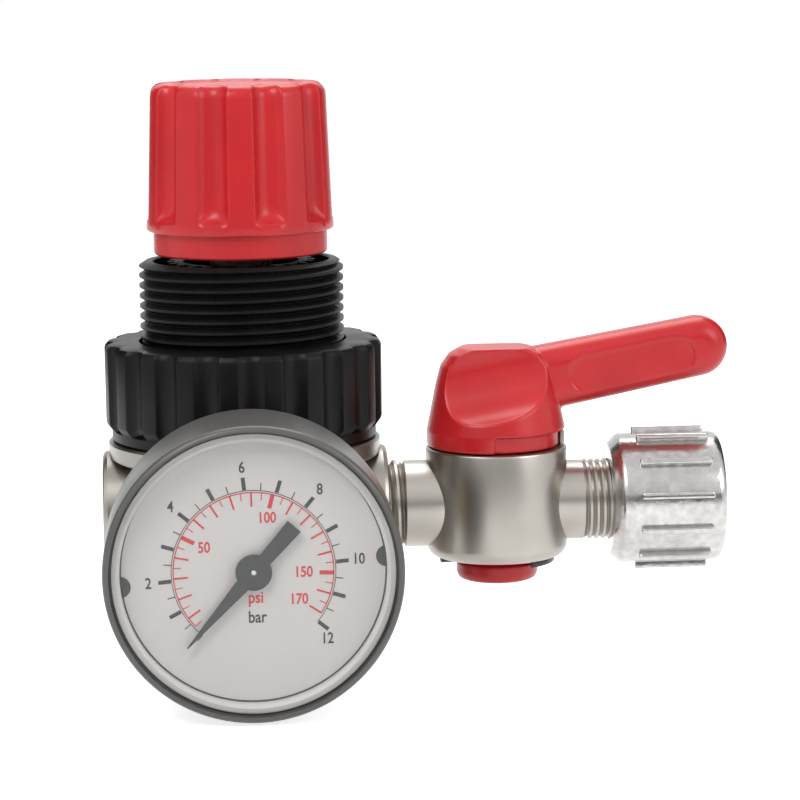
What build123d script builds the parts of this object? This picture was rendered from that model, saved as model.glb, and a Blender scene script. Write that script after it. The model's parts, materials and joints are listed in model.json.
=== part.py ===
from build123d import *
import os
from math import atan2, cos, degrees, hypot, radians, sin, sqrt

# Inline air pressure regulator with a 40 mm pressure gauge and a shut-off valve at its outlet.
# Millimetres, +Z up along the adjusting axis, +X downstream, the gauge faces -Y.
# The origin is the centre of the inlet port's mouth.

# Clearances between pieces
running_gap = 0.05  # radial, where one round piece turns or slides in another
thread_gap = 0.05  # radial, between a screwed piece and its tapped hole
loose_gap = 0.2  # pieces that pass each other without guiding
drop_gap = 0.1  # radial, parts dropped into a recess

# Ports and bosses of the regulator body
port_reach = 21.0  # tower axis to each port's mouth
port_core_r = 5.72  # G1/4 core radius
port_outside_r = 6.58  # G1/4 outside radius
port_depth = 11.0
port_boss_r = 9.0
mouth_bevel = 0.7
gauge_thread_r = 4.86  # G1/8 outside radius
gauge_boss_r = 7.8
boss_bevel = 0.5
gauge_boss_reach = 18.5  # tower axis to the gauge boss's face
gauge_port_depth = 8.5
gauge_drop = 0.6  # gauge axis below the port axis
passage_r = 3.2
gauge_passage_r = 2.2
small_passage_r = 1.5
cross_drill_l = 3.3  # blind end beyond each tapped bore
rear_hex = 13.0  # across flats
rear_head_h = 4.5
rear_bevel = 1.5

# Regulator body
column_r = 13.6
column_bottom = -13.0
neck_r = 17.6
collar_r = 20.05
collar_z = 8.2
collar_h = 2.6
spigot_r = 18.3
spigot_h = 4.2
air_chamber_r = 12.5
air_chamber_floor = 9.0
seat_web = 5.0  # web that carries the valve seat
orifice_r = 3.0
valve_chamber_r = 5.6
plug_thread_r = 8.0
plug_thread_h = 5.0

# Diaphragm and its discs
diaphragm_t = 1.2
diaphragm_r = 17.6
diaphragm_hole_r = 2.6
fold_r = 10.0  # radius of the rolled fold
fold_half_w = 0.9
fold_h = 0.5
disc_r = 8.9
disc_t = 1.2
disc_boss_r = 6.4
disc_boss_h = 1.6
relief_r = 6.0
relief_t = 1.2
vent_r = 0.8

# Bonnet: M30 x 1.5 neck over a clamped flange
bonnet_thread_r = 15.0
bonnet_relief = 0.3  # the neck inside the ring nut is plain
bonnet_flange_h = 4.8
bonnet_h = 21.0
bonnet_web = 1.6
bonnet_cup_depth = 2.6
bonnet_cup_r = 12.95
spring_chamber_r = 11.0
bonnet_lead_in = 0.9
guide_slot_w = 4.0
guide_slot_depth = 1.5
spline_count = 24
spline_tip_r = 10.8
spline_root_r = 9.8
spline_h = 2.4
spline_w = 1.25
turret_bore_r = 8.5

# Ring nut
ring_nut_r = 20.44
ring_nut_lip = 4.36
ring_nut_foot_r = 19.5
ring_nut_foot_h = 1.5
ring_nut_bevel = 0.9
scallop_count = 20
scallop_r = 2.6
scallop_depth = 0.9
scallop_phase = 2.0

# Adjusting screw, its thrust parts and the spring carrier
screw_r = 4.0
screw_pitch = 1.0
screw_hex = 8.0  # across flats
screw_flange_r = 7.0
screw_flange_t = 1.1
screw_above_web = 15.9
washer_t = 0.4
clip_t = 0.6
clip_r = 6.3
clip_groove_r = 3.6
carrier_t = 3.0
carrier_r = 10.6
carrier_turns = 4.0
lug_reach = 12.3
lug_w = 3.8
main_wire_r = 0.75
main_spring_r = 7.5
main_spring_turns = 4

# Valve stem, its spring and the bottom plug
stem_r = 1.2
poppet_r = 4.6
poppet_t = 1.6
poppet_seal_t = 0.6
poppet_seal_r = 4.2
guide_r = 1.6
valve_stroke = 0.8
valve_wire_r = 0.35
valve_spring_r = 3.4
valve_spring_turns = 6
plug_hex = 19.0  # across flats
plug_head_h = 3.6
plug_well_r = 4.4
plug_well_depth = 2.6
o_ring_r = 0.8  # section radius
seal_washer_t = 1.1

# Adjusting knob, in its raised place
knob_lift_gap = 1.0
knob_h = 24.9
knob_neck_r = 12.73
knob_neck_h = 3.45
knob_shoulder_r = 13.72
knob_top_r = 12.98
knob_crown_h = 1.6
knob_flat_r = 11.4
knob_wall = 1.55
knob_roof = 2.5
knob_lock_travel = 3.0
lock_ring_h = 3.0
lock_tip_r = 10.0
lock_tooth_w = 1.2
flute_count = 10
flute_r = 2.6
flute_depth = 1.05
flute_start = 1.4  # above the shoulder
hub_r = 6.2
hub_floor_gap = 1.2
rib_w = 1.6
rib_start = 3.4  # above the shoulder
rib_count = 6

# Gauge, measured along its axis from the tower axis towards the viewer
gauge_roll = 5.4  # degrees that the gauge is turned past upright
case_back = 27.0
case_front = 47.5
case_r = 20.33
case_back_r = 17.4
case_taper = 5.5
case_wall = 1.33
case_floor = 1.2
case_rim_round = 1.1
rim_w = 0.83  # the rim's flat front
window_recess_r = case_r - rim_w
window_r = window_recess_r - 0.4
window_t = 1.3
window_recess = 1.9
dial_r = window_r - 0.8
dial_t = 0.5
dial_ledge_r = dial_r - 0.8
dial_setback = 3.5  # rim to the face of the dial
notch_r = 1.5
notch_pitch_r = dial_r + 0.3
pointer_t = 0.35
pointer_tip = 13.7
pointer_tail = 8.3
pointer_hub_r = 2.4
pointer_angle = 222.7  # at rest, from the dial's own right-hand side
socket_hex = 14.0
socket_flange_r = 7.2
socket_flange_t = 1.0
block_w = 8.0
block_low = 15.4
block_high = 4.0
tube_ring_r = case_back_r - 3.2
tube_w = 5.0
tube_t = 1.7
tube_corner = 0.5
tube_tip_w = 2.2
tip_angle = -8.0
plate_t = 0.8
plate_gap = 4.2
shaft_r = 0.6
gear_module = 0.25
sector_teeth = 72  # of a whole wheel
pinion_teeth = 8
sector_t = 0.8
sector_angle = -60.0  # from the shaft to the sector's pivot
sector_swing = 30.0
tail_arm = 4.6
tail_angle = -15.0
pin_r = 0.4

# Shut-off valve
valve_reach = 37.44  # tower axis to the valve's axis
housing_r = 10.53
housing_top = 8.5
housing_bottom = -8.0
housing_round = 2.0
housing_bevel = 0.35
inlet_stub_r = 6.45
inlet_stub_start = 25.2  # from the tower axis
outlet_stub_r = 5.92
hose_thread_r = 6.0  # M12 x 1
hose_thread_start = 49.3
hose_thread_end = 60.5
spigot_out_r = 3.25
spigot_end = 69.5
flow_r = 3.5
spigot_bore_r = 2.0
plug_r = 6.35
stop_angle = 7.0  # half of the lug's share of the circle
stop_lug_h = 2.1
stop_lug_r = 10.35
stop_lug_in_r = 9.45

# Lever: cap, arm and stop skirt
cap_gap = 0.15
cap_r = 10.35
cap_shoulder_r = 8.95
cap_skirt_h = 2.3
cap_shoulder_h = 9.25
cap_h = 14.7
cap_flat_r = 5.3
skirt_ring_r = 9.3
arm_t = 7.4
arm_root_r = 4.9
arm_root_x = 3.56
arm_root_h = 9.25
arm_tip_r = 4.5
arm_tip_x = 30.16
arm_tip_h = 14.2
arm_round = 3.1
scoop_low_y = 9.8
scoop_low_h = 4.9
scoop_axis_h = 13.3
panel_l = 19.0
panel_w = 6.0
panel_depth = 0.35
core_in_r = 6.9
core_out_r = 8.2
core_depth = 4.5
button_r = 6.1
button_h = 2.7
button_round = 1.1
retainer_groove_r = 5.2
retainer_r = 8.6
retainer_t = 0.7
retainer_gap = 0.1
plug_ring_section = 0.5
plug_ring_z = 5.2

# Hose nut and its clamp ring
nut_start = 54.2
nut_end = 70.84
nut_r = 9.71
nut_small_r = 8.3
nut_bevel = 1.34
nut_thread_l = 8.0
nut_cavity_r = 7.4
nut_lip = 1.5
nut_mouth_r = 5.7
nut_rib_count = 12
nut_rib_w = 1.0
nut_rib_tip_r = 10.65
nut_rib_start = 3.8
nut_rib_l = 10.8
clamp_ring_t = 1.8
clamp_ring_bore_r = 5.2

# Levels that follow from the stack above
collar_top = collar_z + collar_h
spigot_top = collar_top + spigot_h
bonnet_z = spigot_top + diaphragm_t
flange_top = bonnet_z + bonnet_flange_h
ring_nut_top = flange_top + ring_nut_lip
ring_nut_z = collar_top + loose_gap
bonnet_top = bonnet_z + bonnet_h
web_top = bonnet_top - bonnet_cup_depth
web_z = web_top - bonnet_web
knob_z = bonnet_top + knob_lift_gap
knob_top = knob_z + knob_h
shoulder_z = knob_z + knob_neck_h
screw_flange_z = web_z - washer_t - screw_flange_t
carrier_top = screw_flange_z - 0.3
carrier_z = carrier_top - carrier_t
disc_top = bonnet_z + disc_t
seat_z = air_chamber_floor - seat_web
poppet_z = seat_z - poppet_seal_t - poppet_t
plug_face_z = column_bottom - 2 * o_ring_r
plug_well_floor = column_bottom + plug_thread_h - plug_well_depth - 0.2
relief_z = spigot_top - relief_t
dial_face = case_front - dial_setback
window_z = case_front - window_recess
sector_r = gear_module * sector_teeth / 2
pinion_r = gear_module * pinion_teeth / 2

# Places and planes
tower_axis = Axis((port_reach, 0, 0), (0, 0, 1))
tower_section = Plane((port_reach, 0, 0), x_dir=(1, 0, 0), z_dir=(0, -1, 0))
port_axis = Axis((0, 0, 0), (1, 0, 0))
port_section = Plane((0, 0, 0), x_dir=(1, 0, 0), z_dir=(0, -1, 0))
gauge_axis = Axis((port_reach, 0, -gauge_drop), (0, -1, 0))
gauge_section = Plane((port_reach, 0, -gauge_drop), x_dir=(1, 0, 0), z_dir=(0, 0, -1))
rear_axis = Axis((port_reach, 0, -gauge_drop), (0, 1, 0))
rear_section = Plane((port_reach, 0, -gauge_drop), x_dir=(1, 0, 0), z_dir=(0, 0, 1))
valve_x = port_reach + valve_reach
valve_axis = Axis((valve_x, 0, 0), (0, 0, 1))
valve_section = Plane((valve_x, 0, 0), x_dir=(1, 0, 0), z_dir=(0, -1, 0))


def tower_level(z):
    """Level plane across the tower, its origin on the tower axis."""
    return Plane((port_reach, 0, z))


def valve_level(z):
    """Level plane across the valve, its origin on the lever's axis."""
    return Plane((valve_x, 0, z))


def flow_station(x):
    """Upright plane across the flow, at a distance from the inlet mouth."""
    return Plane((x, 0, 0), x_dir=(0, 1, 0), z_dir=(1, 0, 0))


def gauge_level(depth, roll=0.0):
    """Plane across the gauge axis, seen from the front, turned by the roll."""
    turned = (cos(radians(roll)), 0, sin(radians(roll)))
    return Plane((port_reach, -depth, -gauge_drop), x_dir=turned, z_dir=(0, -1, 0))


def outline(plane, corners):
    """Closed straight-sided outline on a plane."""
    with BuildSketch(plane) as profile:
        with BuildLine():
            Polyline(*corners, close=True)
        make_face()
    return profile.sketch


def ring_section(plane, inner, outer, low, high):
    """Rectangular section between two radii and two heights."""
    return outline(plane, [(inner, low), (outer, low), (outer, high), (inner, high)])


def ring_sector(plane, inner_r, outer_r, start, sweep):
    """Part of a flat ring, from a start angle through a sweep in degrees."""
    with BuildSketch(plane) as sector:
        with BuildLine():
            inside = CenterArc((0, 0), inner_r, start, sweep)
            outside = CenterArc((0, 0), outer_r, start, sweep)
            Line(inside @ 0, outside @ 0)
            Line(inside @ 1, outside @ 1)
        make_face()
    return sector.sketch


def coil(axis_x, z_low, z_high, mean_r, wire_r, turns):
    """Compression spring between two levels, its wire kept to six flats."""
    height = z_high - z_low - 2 * wire_r
    with BuildPart() as spring:
        with BuildLine():
            line = Helix(height / turns, height, mean_r, center=(axis_x, 0, z_low + wire_r))
        with BuildSketch(Plane(line @ 0, z_dir=line % 0)):
            RegularPolygon(wire_r, 6)
        sweep(is_frenet=True)
    return spring.part


def finish(part, name):
    """Name a finished piece and write it to its own file."""
    part.label = name
    export_step(part, f"parts/{name}.step")


os.makedirs("parts", exist_ok=True)

# Regulator body: a turned column with a collar and spigot on top, and four bosses
with BuildPart() as regulator_body:
    with BuildSketch(tower_section):
        with BuildLine():
            Polyline(
                (0, column_bottom),
                (column_r - 0.8, column_bottom),
                (column_r, column_bottom + 0.8),
                (column_r, collar_z - 5.0),
                (column_r + 1.1, collar_z - 2.0),
                (neck_r, collar_z),
                (collar_r - 0.3, collar_z),
                (collar_r, collar_z + 0.3),
                (collar_r, collar_top - 0.3),
                (collar_r - 0.3, collar_top),
                (spigot_r, collar_top),
                (spigot_r, spigot_top),
                (0, spigot_top),
                (0, column_bottom),
            )
        make_face()
    revolve(axis=tower_axis)
    port_bosses = outline(
        port_section,
        [
            (0, 0),
            (0, port_boss_r - mouth_bevel),
            (0.3 * mouth_bevel, port_boss_r - 0.3 * mouth_bevel),
            (mouth_bevel, port_boss_r),
            (2 * port_reach - mouth_bevel, port_boss_r),
            (2 * port_reach - 0.3 * mouth_bevel, port_boss_r - 0.3 * mouth_bevel),
            (2 * port_reach, port_boss_r - mouth_bevel),
            (2 * port_reach, 0),
        ],
    )
    revolve(port_bosses, axis=port_axis)
    gauge_bosses = outline(
        gauge_section,
        [
            (0, -gauge_boss_reach),
            (gauge_boss_r - boss_bevel, -gauge_boss_reach),
            (gauge_boss_r, boss_bevel - gauge_boss_reach),
            (gauge_boss_r, gauge_boss_reach - boss_bevel),
            (gauge_boss_r - boss_bevel, gauge_boss_reach),
            (0, gauge_boss_reach),
        ],
    )
    revolve(gauge_bosses, axis=gauge_axis)
    # air chamber under the diaphragm, the seat's orifice, the valve chamber and the plug's bore
    with BuildSketch(tower_level(air_chamber_floor)):
        Circle(air_chamber_r)
    extrude(amount=spigot_top - air_chamber_floor, mode=Mode.SUBTRACT)
    with BuildSketch(tower_level(seat_z)):
        Circle(orifice_r)
    extrude(amount=seat_web, mode=Mode.SUBTRACT)
    with BuildSketch(tower_level(column_bottom)):
        Circle(valve_chamber_r)
    extrude(amount=seat_z - column_bottom, mode=Mode.SUBTRACT)
    with BuildSketch(tower_level(column_bottom)):
        Circle(plug_thread_r)
    extrude(amount=plug_thread_h, mode=Mode.SUBTRACT)
    # inlet, tapped core and passage into the valve chamber
    with BuildSketch(flow_station(0)):
        Circle(port_core_r)
    extrude(amount=port_depth, mode=Mode.SUBTRACT)
    with BuildSketch(flow_station(0)):
        Circle(passage_r)
    extrude(amount=port_reach, mode=Mode.SUBTRACT)
    # outlet, gauge and rear ports, each reached by a small hole from the air chamber's floor
    with BuildSketch(flow_station(2 * port_reach)):
        Circle(port_outside_r + thread_gap)
    extrude(amount=-port_depth, mode=Mode.SUBTRACT)
    with BuildSketch(flow_station(2 * port_reach - port_depth)):
        Circle(passage_r)
    extrude(amount=-cross_drill_l, mode=Mode.SUBTRACT)
    for side in (-1, 1):
        with BuildSketch(gauge_level(side * gauge_boss_reach)):
            Circle(gauge_thread_r + thread_gap)
        extrude(amount=-side * gauge_port_depth, mode=Mode.SUBTRACT)
        with BuildSketch(gauge_level(side * (gauge_boss_reach - gauge_port_depth))):
            Circle(gauge_passage_r)
        extrude(amount=-side * cross_drill_l, mode=Mode.SUBTRACT)
    small_hole_reach = gauge_boss_reach - gauge_port_depth - cross_drill_l / 2
    outlet_hole_reach = port_reach - port_depth - cross_drill_l / 2
    with BuildSketch(tower_level(air_chamber_floor)):
        with Locations((0, -small_hole_reach), (0, small_hole_reach), (outlet_hole_reach, 0)):
            Circle(small_passage_r)
    extrude(amount=-air_chamber_floor, mode=Mode.SUBTRACT)
finish(regulator_body.part, "regulator_body")

# Diaphragm: a rubber disc with one raised fold, clamped at its rim
with BuildPart() as diaphragm:
    lower_face = [
        (diaphragm_hole_r, spigot_top),
        (fold_r - fold_half_w, spigot_top),
        (fold_r, spigot_top + fold_h),
        (fold_r + fold_half_w, spigot_top),
        (diaphragm_r, spigot_top),
    ]
    upper_face = [(r, z + diaphragm_t) for r, z in reversed(lower_face)]
    revolve(outline(tower_section, lower_face + upper_face), axis=tower_axis)
finish(diaphragm.part, "diaphragm")

# Upper diaphragm disc with the boss that centres the regulating spring
with BuildPart() as diaphragm_plate:
    revolve(ring_section(tower_section, 0, disc_r, bonnet_z, disc_top), axis=tower_axis)
    with BuildSketch(tower_level(disc_top)):
        Circle(disc_boss_r)
    extrude(amount=disc_boss_h, taper=12)
    with BuildSketch(tower_level(bonnet_z)):
        Circle(1.6)
    extrude(amount=disc_t + disc_boss_h, mode=Mode.SUBTRACT)
finish(diaphragm_plate.part, "diaphragm_plate")

# Relief seat: brass rivet under the diaphragm, with the vent that the stem closes
with BuildPart() as relief_seat:
    revolve(ring_section(tower_section, vent_r, relief_r, relief_z, spigot_top), axis=tower_axis)
    shank_r = diaphragm_hole_r - drop_gap
    revolve(ring_section(tower_section, vent_r, shank_r, spigot_top, bonnet_z), axis=tower_axis)
    rivet_top = disc_top + disc_boss_h
    revolve(ring_section(tower_section, vent_r, 1.55, bonnet_z, rivet_top), axis=tower_axis)
finish(relief_seat.part, "relief_seat")

# Bonnet: flange, M30 neck, spring chamber, and the splined turret that locks the knob
with BuildPart() as bonnet:
    with BuildSketch(tower_section):
        with BuildLine():
            Polyline(
                (spring_chamber_r, bonnet_z),
                (spigot_r - drop_gap, bonnet_z),
                (spigot_r - drop_gap, flange_top),
                (bonnet_thread_r - bonnet_relief, flange_top),
                (bonnet_thread_r - bonnet_relief, ring_nut_top),
                (bonnet_thread_r, ring_nut_top),
                (bonnet_thread_r, bonnet_top - bonnet_lead_in * 0.7),
                (bonnet_thread_r - bonnet_lead_in, bonnet_top),
                (bonnet_cup_r, bonnet_top),
                (bonnet_cup_r, web_top),
                (spline_root_r, web_top),
                (spline_root_r, web_top + spline_h),
                (turret_bore_r, web_top + spline_h),
                (turret_bore_r, web_top),
                (screw_hex / sqrt(3) + 0.13, web_top),
                (screw_hex / sqrt(3) + 0.13, web_z),
                (spring_chamber_r, web_z),
                close=True,
            )
        make_face()
    revolve(axis=tower_axis)
    spline_l = spline_tip_r - spline_root_r + 0.3
    with BuildSketch(tower_level(web_top)):
        with PolarLocations(spline_tip_r - spline_l / 2, spline_count):
            Rectangle(spline_l, spline_w)
    extrude(amount=spline_h)
    # two grooves in the spring chamber keep the spring carrier from turning
    with BuildSketch(tower_level(bonnet_z)):
        Rectangle(guide_slot_w, 2 * (spring_chamber_r + guide_slot_depth))
        Circle(spring_chamber_r - 0.5, mode=Mode.SUBTRACT)
    extrude(amount=web_z - bonnet_z, mode=Mode.SUBTRACT)
finish(bonnet.part, "bonnet")

# Ring nut: scalloped outside, stepped at its foot, and a lip over the bonnet's flange
with BuildPart() as ring_nut:
    with BuildSketch(tower_section):
        with BuildLine():
            Polyline(
                (spigot_r + loose_gap, ring_nut_z),
                (ring_nut_foot_r, ring_nut_z),
                (ring_nut_foot_r, ring_nut_z + ring_nut_foot_h),
                (ring_nut_r, ring_nut_z + ring_nut_foot_h + 1.3),
                (ring_nut_r, ring_nut_top - ring_nut_bevel),
                (ring_nut_r - ring_nut_bevel, ring_nut_top),
                (bonnet_thread_r + loose_gap, ring_nut_top),
                (bonnet_thread_r + loose_gap, flange_top),
                (spigot_r + loose_gap, flange_top),
                close=True,
            )
        make_face()
    revolve(axis=tower_axis)
    with BuildSketch(tower_level(ring_nut_z)):
        scallop_pitch_r = ring_nut_r + scallop_r - scallop_depth
        with PolarLocations(scallop_pitch_r, scallop_count, start_angle=-90 + scallop_phase):
            Circle(scallop_r)
    extrude(amount=ring_nut_top - ring_nut_z, mode=Mode.SUBTRACT)
finish(ring_nut.part, "ring_nut")

# Adjusting screw: threaded shank, thrust flange under the web, hexagon up into the knob
with BuildPart() as adjusting_screw:
    shank_z = carrier_z - carrier_turns * screw_pitch - 1.2
    with BuildSketch(tower_level(shank_z)):
        Circle(screw_r)
    extrude(amount=screw_flange_z - shank_z)
    chamfer(adjusting_screw.edges().group_by(Axis.Z)[0], 0.6)
    with BuildSketch(tower_level(screw_flange_z)):
        Circle(screw_flange_r)
    extrude(amount=screw_flange_t)
    hexagon_z = screw_flange_z + screw_flange_t
    with BuildSketch(tower_level(hexagon_z)):
        RegularPolygon(screw_hex / 2, 6, major_radius=False)
    extrude(amount=web_top + screw_above_web - hexagon_z)
    chamfer(adjusting_screw.faces().sort_by(Axis.Z)[-1].edges(), 0.5)
    groove = ring_section(tower_section, clip_groove_r, screw_hex, web_top, web_top + clip_t + 0.1)
    revolve(groove, axis=tower_axis, mode=Mode.SUBTRACT)
finish(adjusting_screw.part, "adjusting_screw")

# Thrust washer between the screw's flange and the bonnet's web
with BuildPart() as thrust_washer:
    washer = ring_section(
        tower_section, screw_hex / sqrt(3) + 0.1, screw_flange_r, web_z - washer_t, web_z
    )
    revolve(washer, axis=tower_axis)
finish(thrust_washer.part, "thrust_washer")

# Retaining clip of the adjusting screw, inside the splined turret
with BuildPart() as screw_clip:
    clip_floor = tower_level(web_top + 0.05)
    extrude(ring_sector(clip_floor, clip_groove_r + 0.05, clip_r, 120, 300), amount=clip_t)
finish(screw_clip.part, "screw_clip")

# Spring carrier: nut on the adjusting screw, with two lugs in the bonnet's grooves
with BuildPart() as spring_carrier:
    with BuildSketch(tower_level(carrier_z)):
        Circle(carrier_r)
        Rectangle(lug_w, 2 * lug_reach)
        Circle(screw_r + thread_gap, mode=Mode.SUBTRACT)
    extrude(amount=carrier_t)
    rim = ring_section(
        tower_section, main_spring_r + main_wire_r + 0.3, carrier_r, carrier_z - 1.2, carrier_z
    )
    revolve(rim, axis=tower_axis)
finish(spring_carrier.part, "spring_carrier")

# Regulating spring between the carrier and the diaphragm's disc
main_spring = coil(
    port_reach, disc_top, carrier_z, main_spring_r, main_wire_r, main_spring_turns
)
finish(main_spring, "regulating_spring")

# Valve stem: guide pin below, poppet, and the slim stem up to the relief seat
with BuildPart() as valve_stem:
    guide_z = plug_well_floor - 1.8
    with BuildSketch(tower_section):
        with BuildLine():
            Polyline(
                (0, guide_z),
                (guide_r, guide_z),
                (guide_r, poppet_z),
                (poppet_r, poppet_z),
                (poppet_r, poppet_z + poppet_t),
                (stem_r, poppet_z + poppet_t),
                (stem_r, relief_z - 0.8),
                (stem_r * 0.75, relief_z - 0.05),
                (0, relief_z - 0.05),
                close=True,
            )
        make_face()
    revolve(axis=tower_axis)
finish(valve_stem.part, "valve_stem")

# Rubber face of the poppet, which closes on the seat
with BuildPart() as valve_seal:
    face_ring = ring_section(
        tower_section, stem_r + 0.02, poppet_seal_r, seat_z - poppet_seal_t, seat_z
    )
    revolve(face_ring, axis=tower_axis)
finish(valve_seal.part, "valve_seal")

# Valve spring between the bottom plug and the poppet
closing_spring = coil(
    port_reach, plug_well_floor, poppet_z, valve_spring_r, valve_wire_r, valve_spring_turns
)
finish(closing_spring, "valve_spring")

# Bottom plug: hexagon head, thread, spring well and the stem's guide hole
with BuildPart() as bottom_plug:
    with BuildSketch(tower_level(plug_face_z - plug_head_h)):
        RegularPolygon(plug_hex / 2, 6, major_radius=False)
    extrude(amount=plug_head_h)
    cone = outline(
        tower_section,
        [
            (plug_hex / 2 - 0.3, plug_face_z - plug_head_h),
            (plug_hex / 2 + 2.5, plug_face_z - plug_head_h),
            (plug_hex / 2 + 2.5, plug_face_z - plug_head_h + 1.6),
        ],
    )
    revolve(cone, axis=tower_axis, mode=Mode.SUBTRACT)
    with BuildSketch(tower_level(plug_face_z)):
        Circle(plug_thread_r - thread_gap)
    extrude(amount=column_bottom + plug_thread_h - 0.2 - plug_face_z)
    with BuildSketch(tower_level(plug_well_floor)):
        Circle(plug_well_r)
    extrude(amount=plug_well_depth, mode=Mode.SUBTRACT)
    with BuildSketch(tower_level(plug_well_floor)):
        Circle(guide_r + running_gap)
    extrude(amount=-1.8 - valve_stroke - 0.6, mode=Mode.SUBTRACT)
finish(bottom_plug.part, "bottom_plug")

# O-ring squeezed between the bottom plug's head and the column
with BuildPart() as bottom_o_ring:
    with BuildSketch(tower_section):
        with Locations((plug_thread_r + o_ring_r + 0.1, column_bottom - o_ring_r)):
            RegularPolygon(o_ring_r, 8, major_radius=False, rotation=22.5)
    revolve(axis=tower_axis)
finish(bottom_o_ring.part, "bottom_o_ring")

# Plug and washer of the rear gauge port
with BuildPart() as rear_plug_seal:
    rear_ring = ring_section(
        rear_section,
        gauge_thread_r + 0.1,
        gauge_boss_r - 0.6,
        gauge_boss_reach,
        gauge_boss_reach + seal_washer_t,
    )
    revolve(rear_ring, axis=rear_axis)
finish(rear_plug_seal.part, "rear_plug_seal")

with BuildPart() as rear_port_plug:
    head_y = gauge_boss_reach + seal_washer_t
    with BuildSketch(gauge_level(-head_y)):
        RegularPolygon(rear_hex / 2, 6, major_radius=False)
    extrude(amount=-rear_head_h)
    head_end = head_y + rear_head_h
    cone_low_r = rear_hex / 2 - 0.2
    cone_top_r = cone_low_r + 1.8 * rear_bevel
    head_cone = outline(
        rear_section,
        [(cone_low_r, head_end), (cone_top_r, head_end), (cone_top_r, head_end - rear_bevel)],
    )
    revolve(head_cone, axis=rear_axis, mode=Mode.SUBTRACT)
    with BuildSketch(gauge_level(-head_y)):
        Circle(gauge_thread_r)
    extrude(amount=gauge_port_depth + seal_washer_t - 0.5)
finish(rear_port_plug.part, "rear_port_plug")

# Adjusting knob: fluted cup with a hexagon hub, ribs and the internal lock teeth
slope = degrees(atan2(knob_shoulder_r - knob_top_r, knob_top - knob_crown_h - shoulder_z))
flute_z = shoulder_z + flute_start
flute_axis_r = knob_shoulder_r + flute_r - flute_depth - (flute_z - shoulder_z) * sin(radians(slope))
flute_plane = Plane(
    (flute_axis_r, 0, flute_z), x_dir=(0, 1, 0), z_dir=(-sin(radians(slope)), 0, cos(radians(slope)))
)
with BuildPart() as flute:
    with BuildSketch(flute_plane):
        Circle(flute_r)
    extrude(amount=knob_h)
    chamfer(flute.edges().group_by(Axis.Z)[0], flute_r - 0.6)

with BuildPart() as adjusting_knob:
    crown_w = knob_top_r - knob_flat_r
    with BuildSketch(tower_section):
        with BuildLine():
            Polyline(
                (0, knob_z),
                (knob_neck_r - 0.3, knob_z),
                (knob_neck_r, knob_z + 0.3),
                (knob_neck_r, shoulder_z),
                (knob_shoulder_r - 0.2, shoulder_z),
                (knob_shoulder_r, shoulder_z + 0.2),
                (knob_top_r, knob_top - knob_crown_h),
                (knob_top_r - 0.28 * crown_w, knob_top - 0.35 * knob_crown_h),
                (knob_flat_r, knob_top),
                (0, knob_top),
                (0, knob_z),
            )
        make_face()
    revolve(axis=tower_axis)
    with Locations(Location((port_reach, 0, 0))):
        with PolarLocations(0, flute_count, start_angle=-90 + 180 / flute_count):
            add(flute.part, mode=Mode.SUBTRACT)
    knob_in_r = knob_neck_r - knob_wall
    roof_z = knob_top - knob_roof
    cup = outline(
        tower_section,
        [
            (0, knob_z),
            (knob_in_r, knob_z),
            (knob_in_r, shoulder_z),
            (knob_in_r - 0.8, roof_z),
            (0, roof_z),
        ],
    )
    revolve(cup, axis=tower_axis, mode=Mode.SUBTRACT)
    tooth_l = knob_in_r - lock_tip_r + 0.3
    with BuildSketch(tower_level(knob_z)):
        with PolarLocations(lock_tip_r + tooth_l / 2, spline_count, 180 / spline_count):
            Rectangle(tooth_l, lock_tooth_w)
    extrude(amount=lock_ring_h)
    with BuildSketch(tower_level(knob_z + hub_floor_gap)):
        Circle(hub_r)
        RegularPolygon(screw_hex / 2 + running_gap, 6, major_radius=False, mode=Mode.SUBTRACT)
    extrude(amount=roof_z - knob_z - hub_floor_gap)
    rib_z = shoulder_z + rib_start
    rib_l = knob_in_r - hub_r + 0.8
    with BuildSketch(tower_level(rib_z)):
        with PolarLocations(hub_r - 0.5 + rib_l / 2, rib_count):
            Rectangle(rib_l, rib_w)
    extrude(amount=roof_z - rib_z)
finish(adjusting_knob.part, "adjusting_knob")

# Gauge case: turned cup with a tapered back, a rounded rim and two ledges
with BuildPart() as gauge_case:
    shaft_hole_r = gauge_thread_r + 1.2
    taper_end = case_back + case_taper
    case_swell = case_r - case_back_r
    with BuildSketch(gauge_section):
        with BuildLine():
            Polyline(
                (shaft_hole_r, case_back),
                (case_back_r - 1.5, case_back),
                (case_back_r + 0.1 * case_swell, case_back + 0.1 * case_taper),
                (case_back_r + 0.6 * case_swell, case_back + 0.4 * case_taper),
                (case_back_r + 0.88 * case_swell, case_back + 0.7 * case_taper),
                (case_r, taper_end),
                (case_r, case_front - case_rim_round),
                (case_r - 0.25 * case_rim_round, case_front - 0.3 * case_rim_round),
                (case_r - 0.7 * case_rim_round, case_front),
                (window_recess_r, case_front),
                (window_recess_r, window_z),
                (dial_r + drop_gap, window_z),
                (dial_r + drop_gap, dial_face - dial_t),
                (dial_ledge_r, dial_face - dial_t),
                (dial_ledge_r, dial_face - dial_t - 1.0),
                (case_r - case_wall, dial_face - dial_t - 2.5),
                (case_r - case_wall, taper_end),
                (case_back_r - 1.6, case_back + case_floor),
                (shaft_hole_r, case_back + case_floor),
                (shaft_hole_r, case_back),
            )
        make_face()
    revolve(axis=gauge_axis)
finish(gauge_case.part, "gauge_case")

# Gauge window: clear disc with a bevelled edge, on the outer ledge
with BuildPart() as gauge_window:
    with BuildSketch(gauge_level(window_z)):
        Circle(window_r)
    extrude(amount=window_t)
    chamfer(gauge_window.edges().group_by(Axis.Y)[0], 0.4)
finish(gauge_window.part, "gauge_window")

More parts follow.
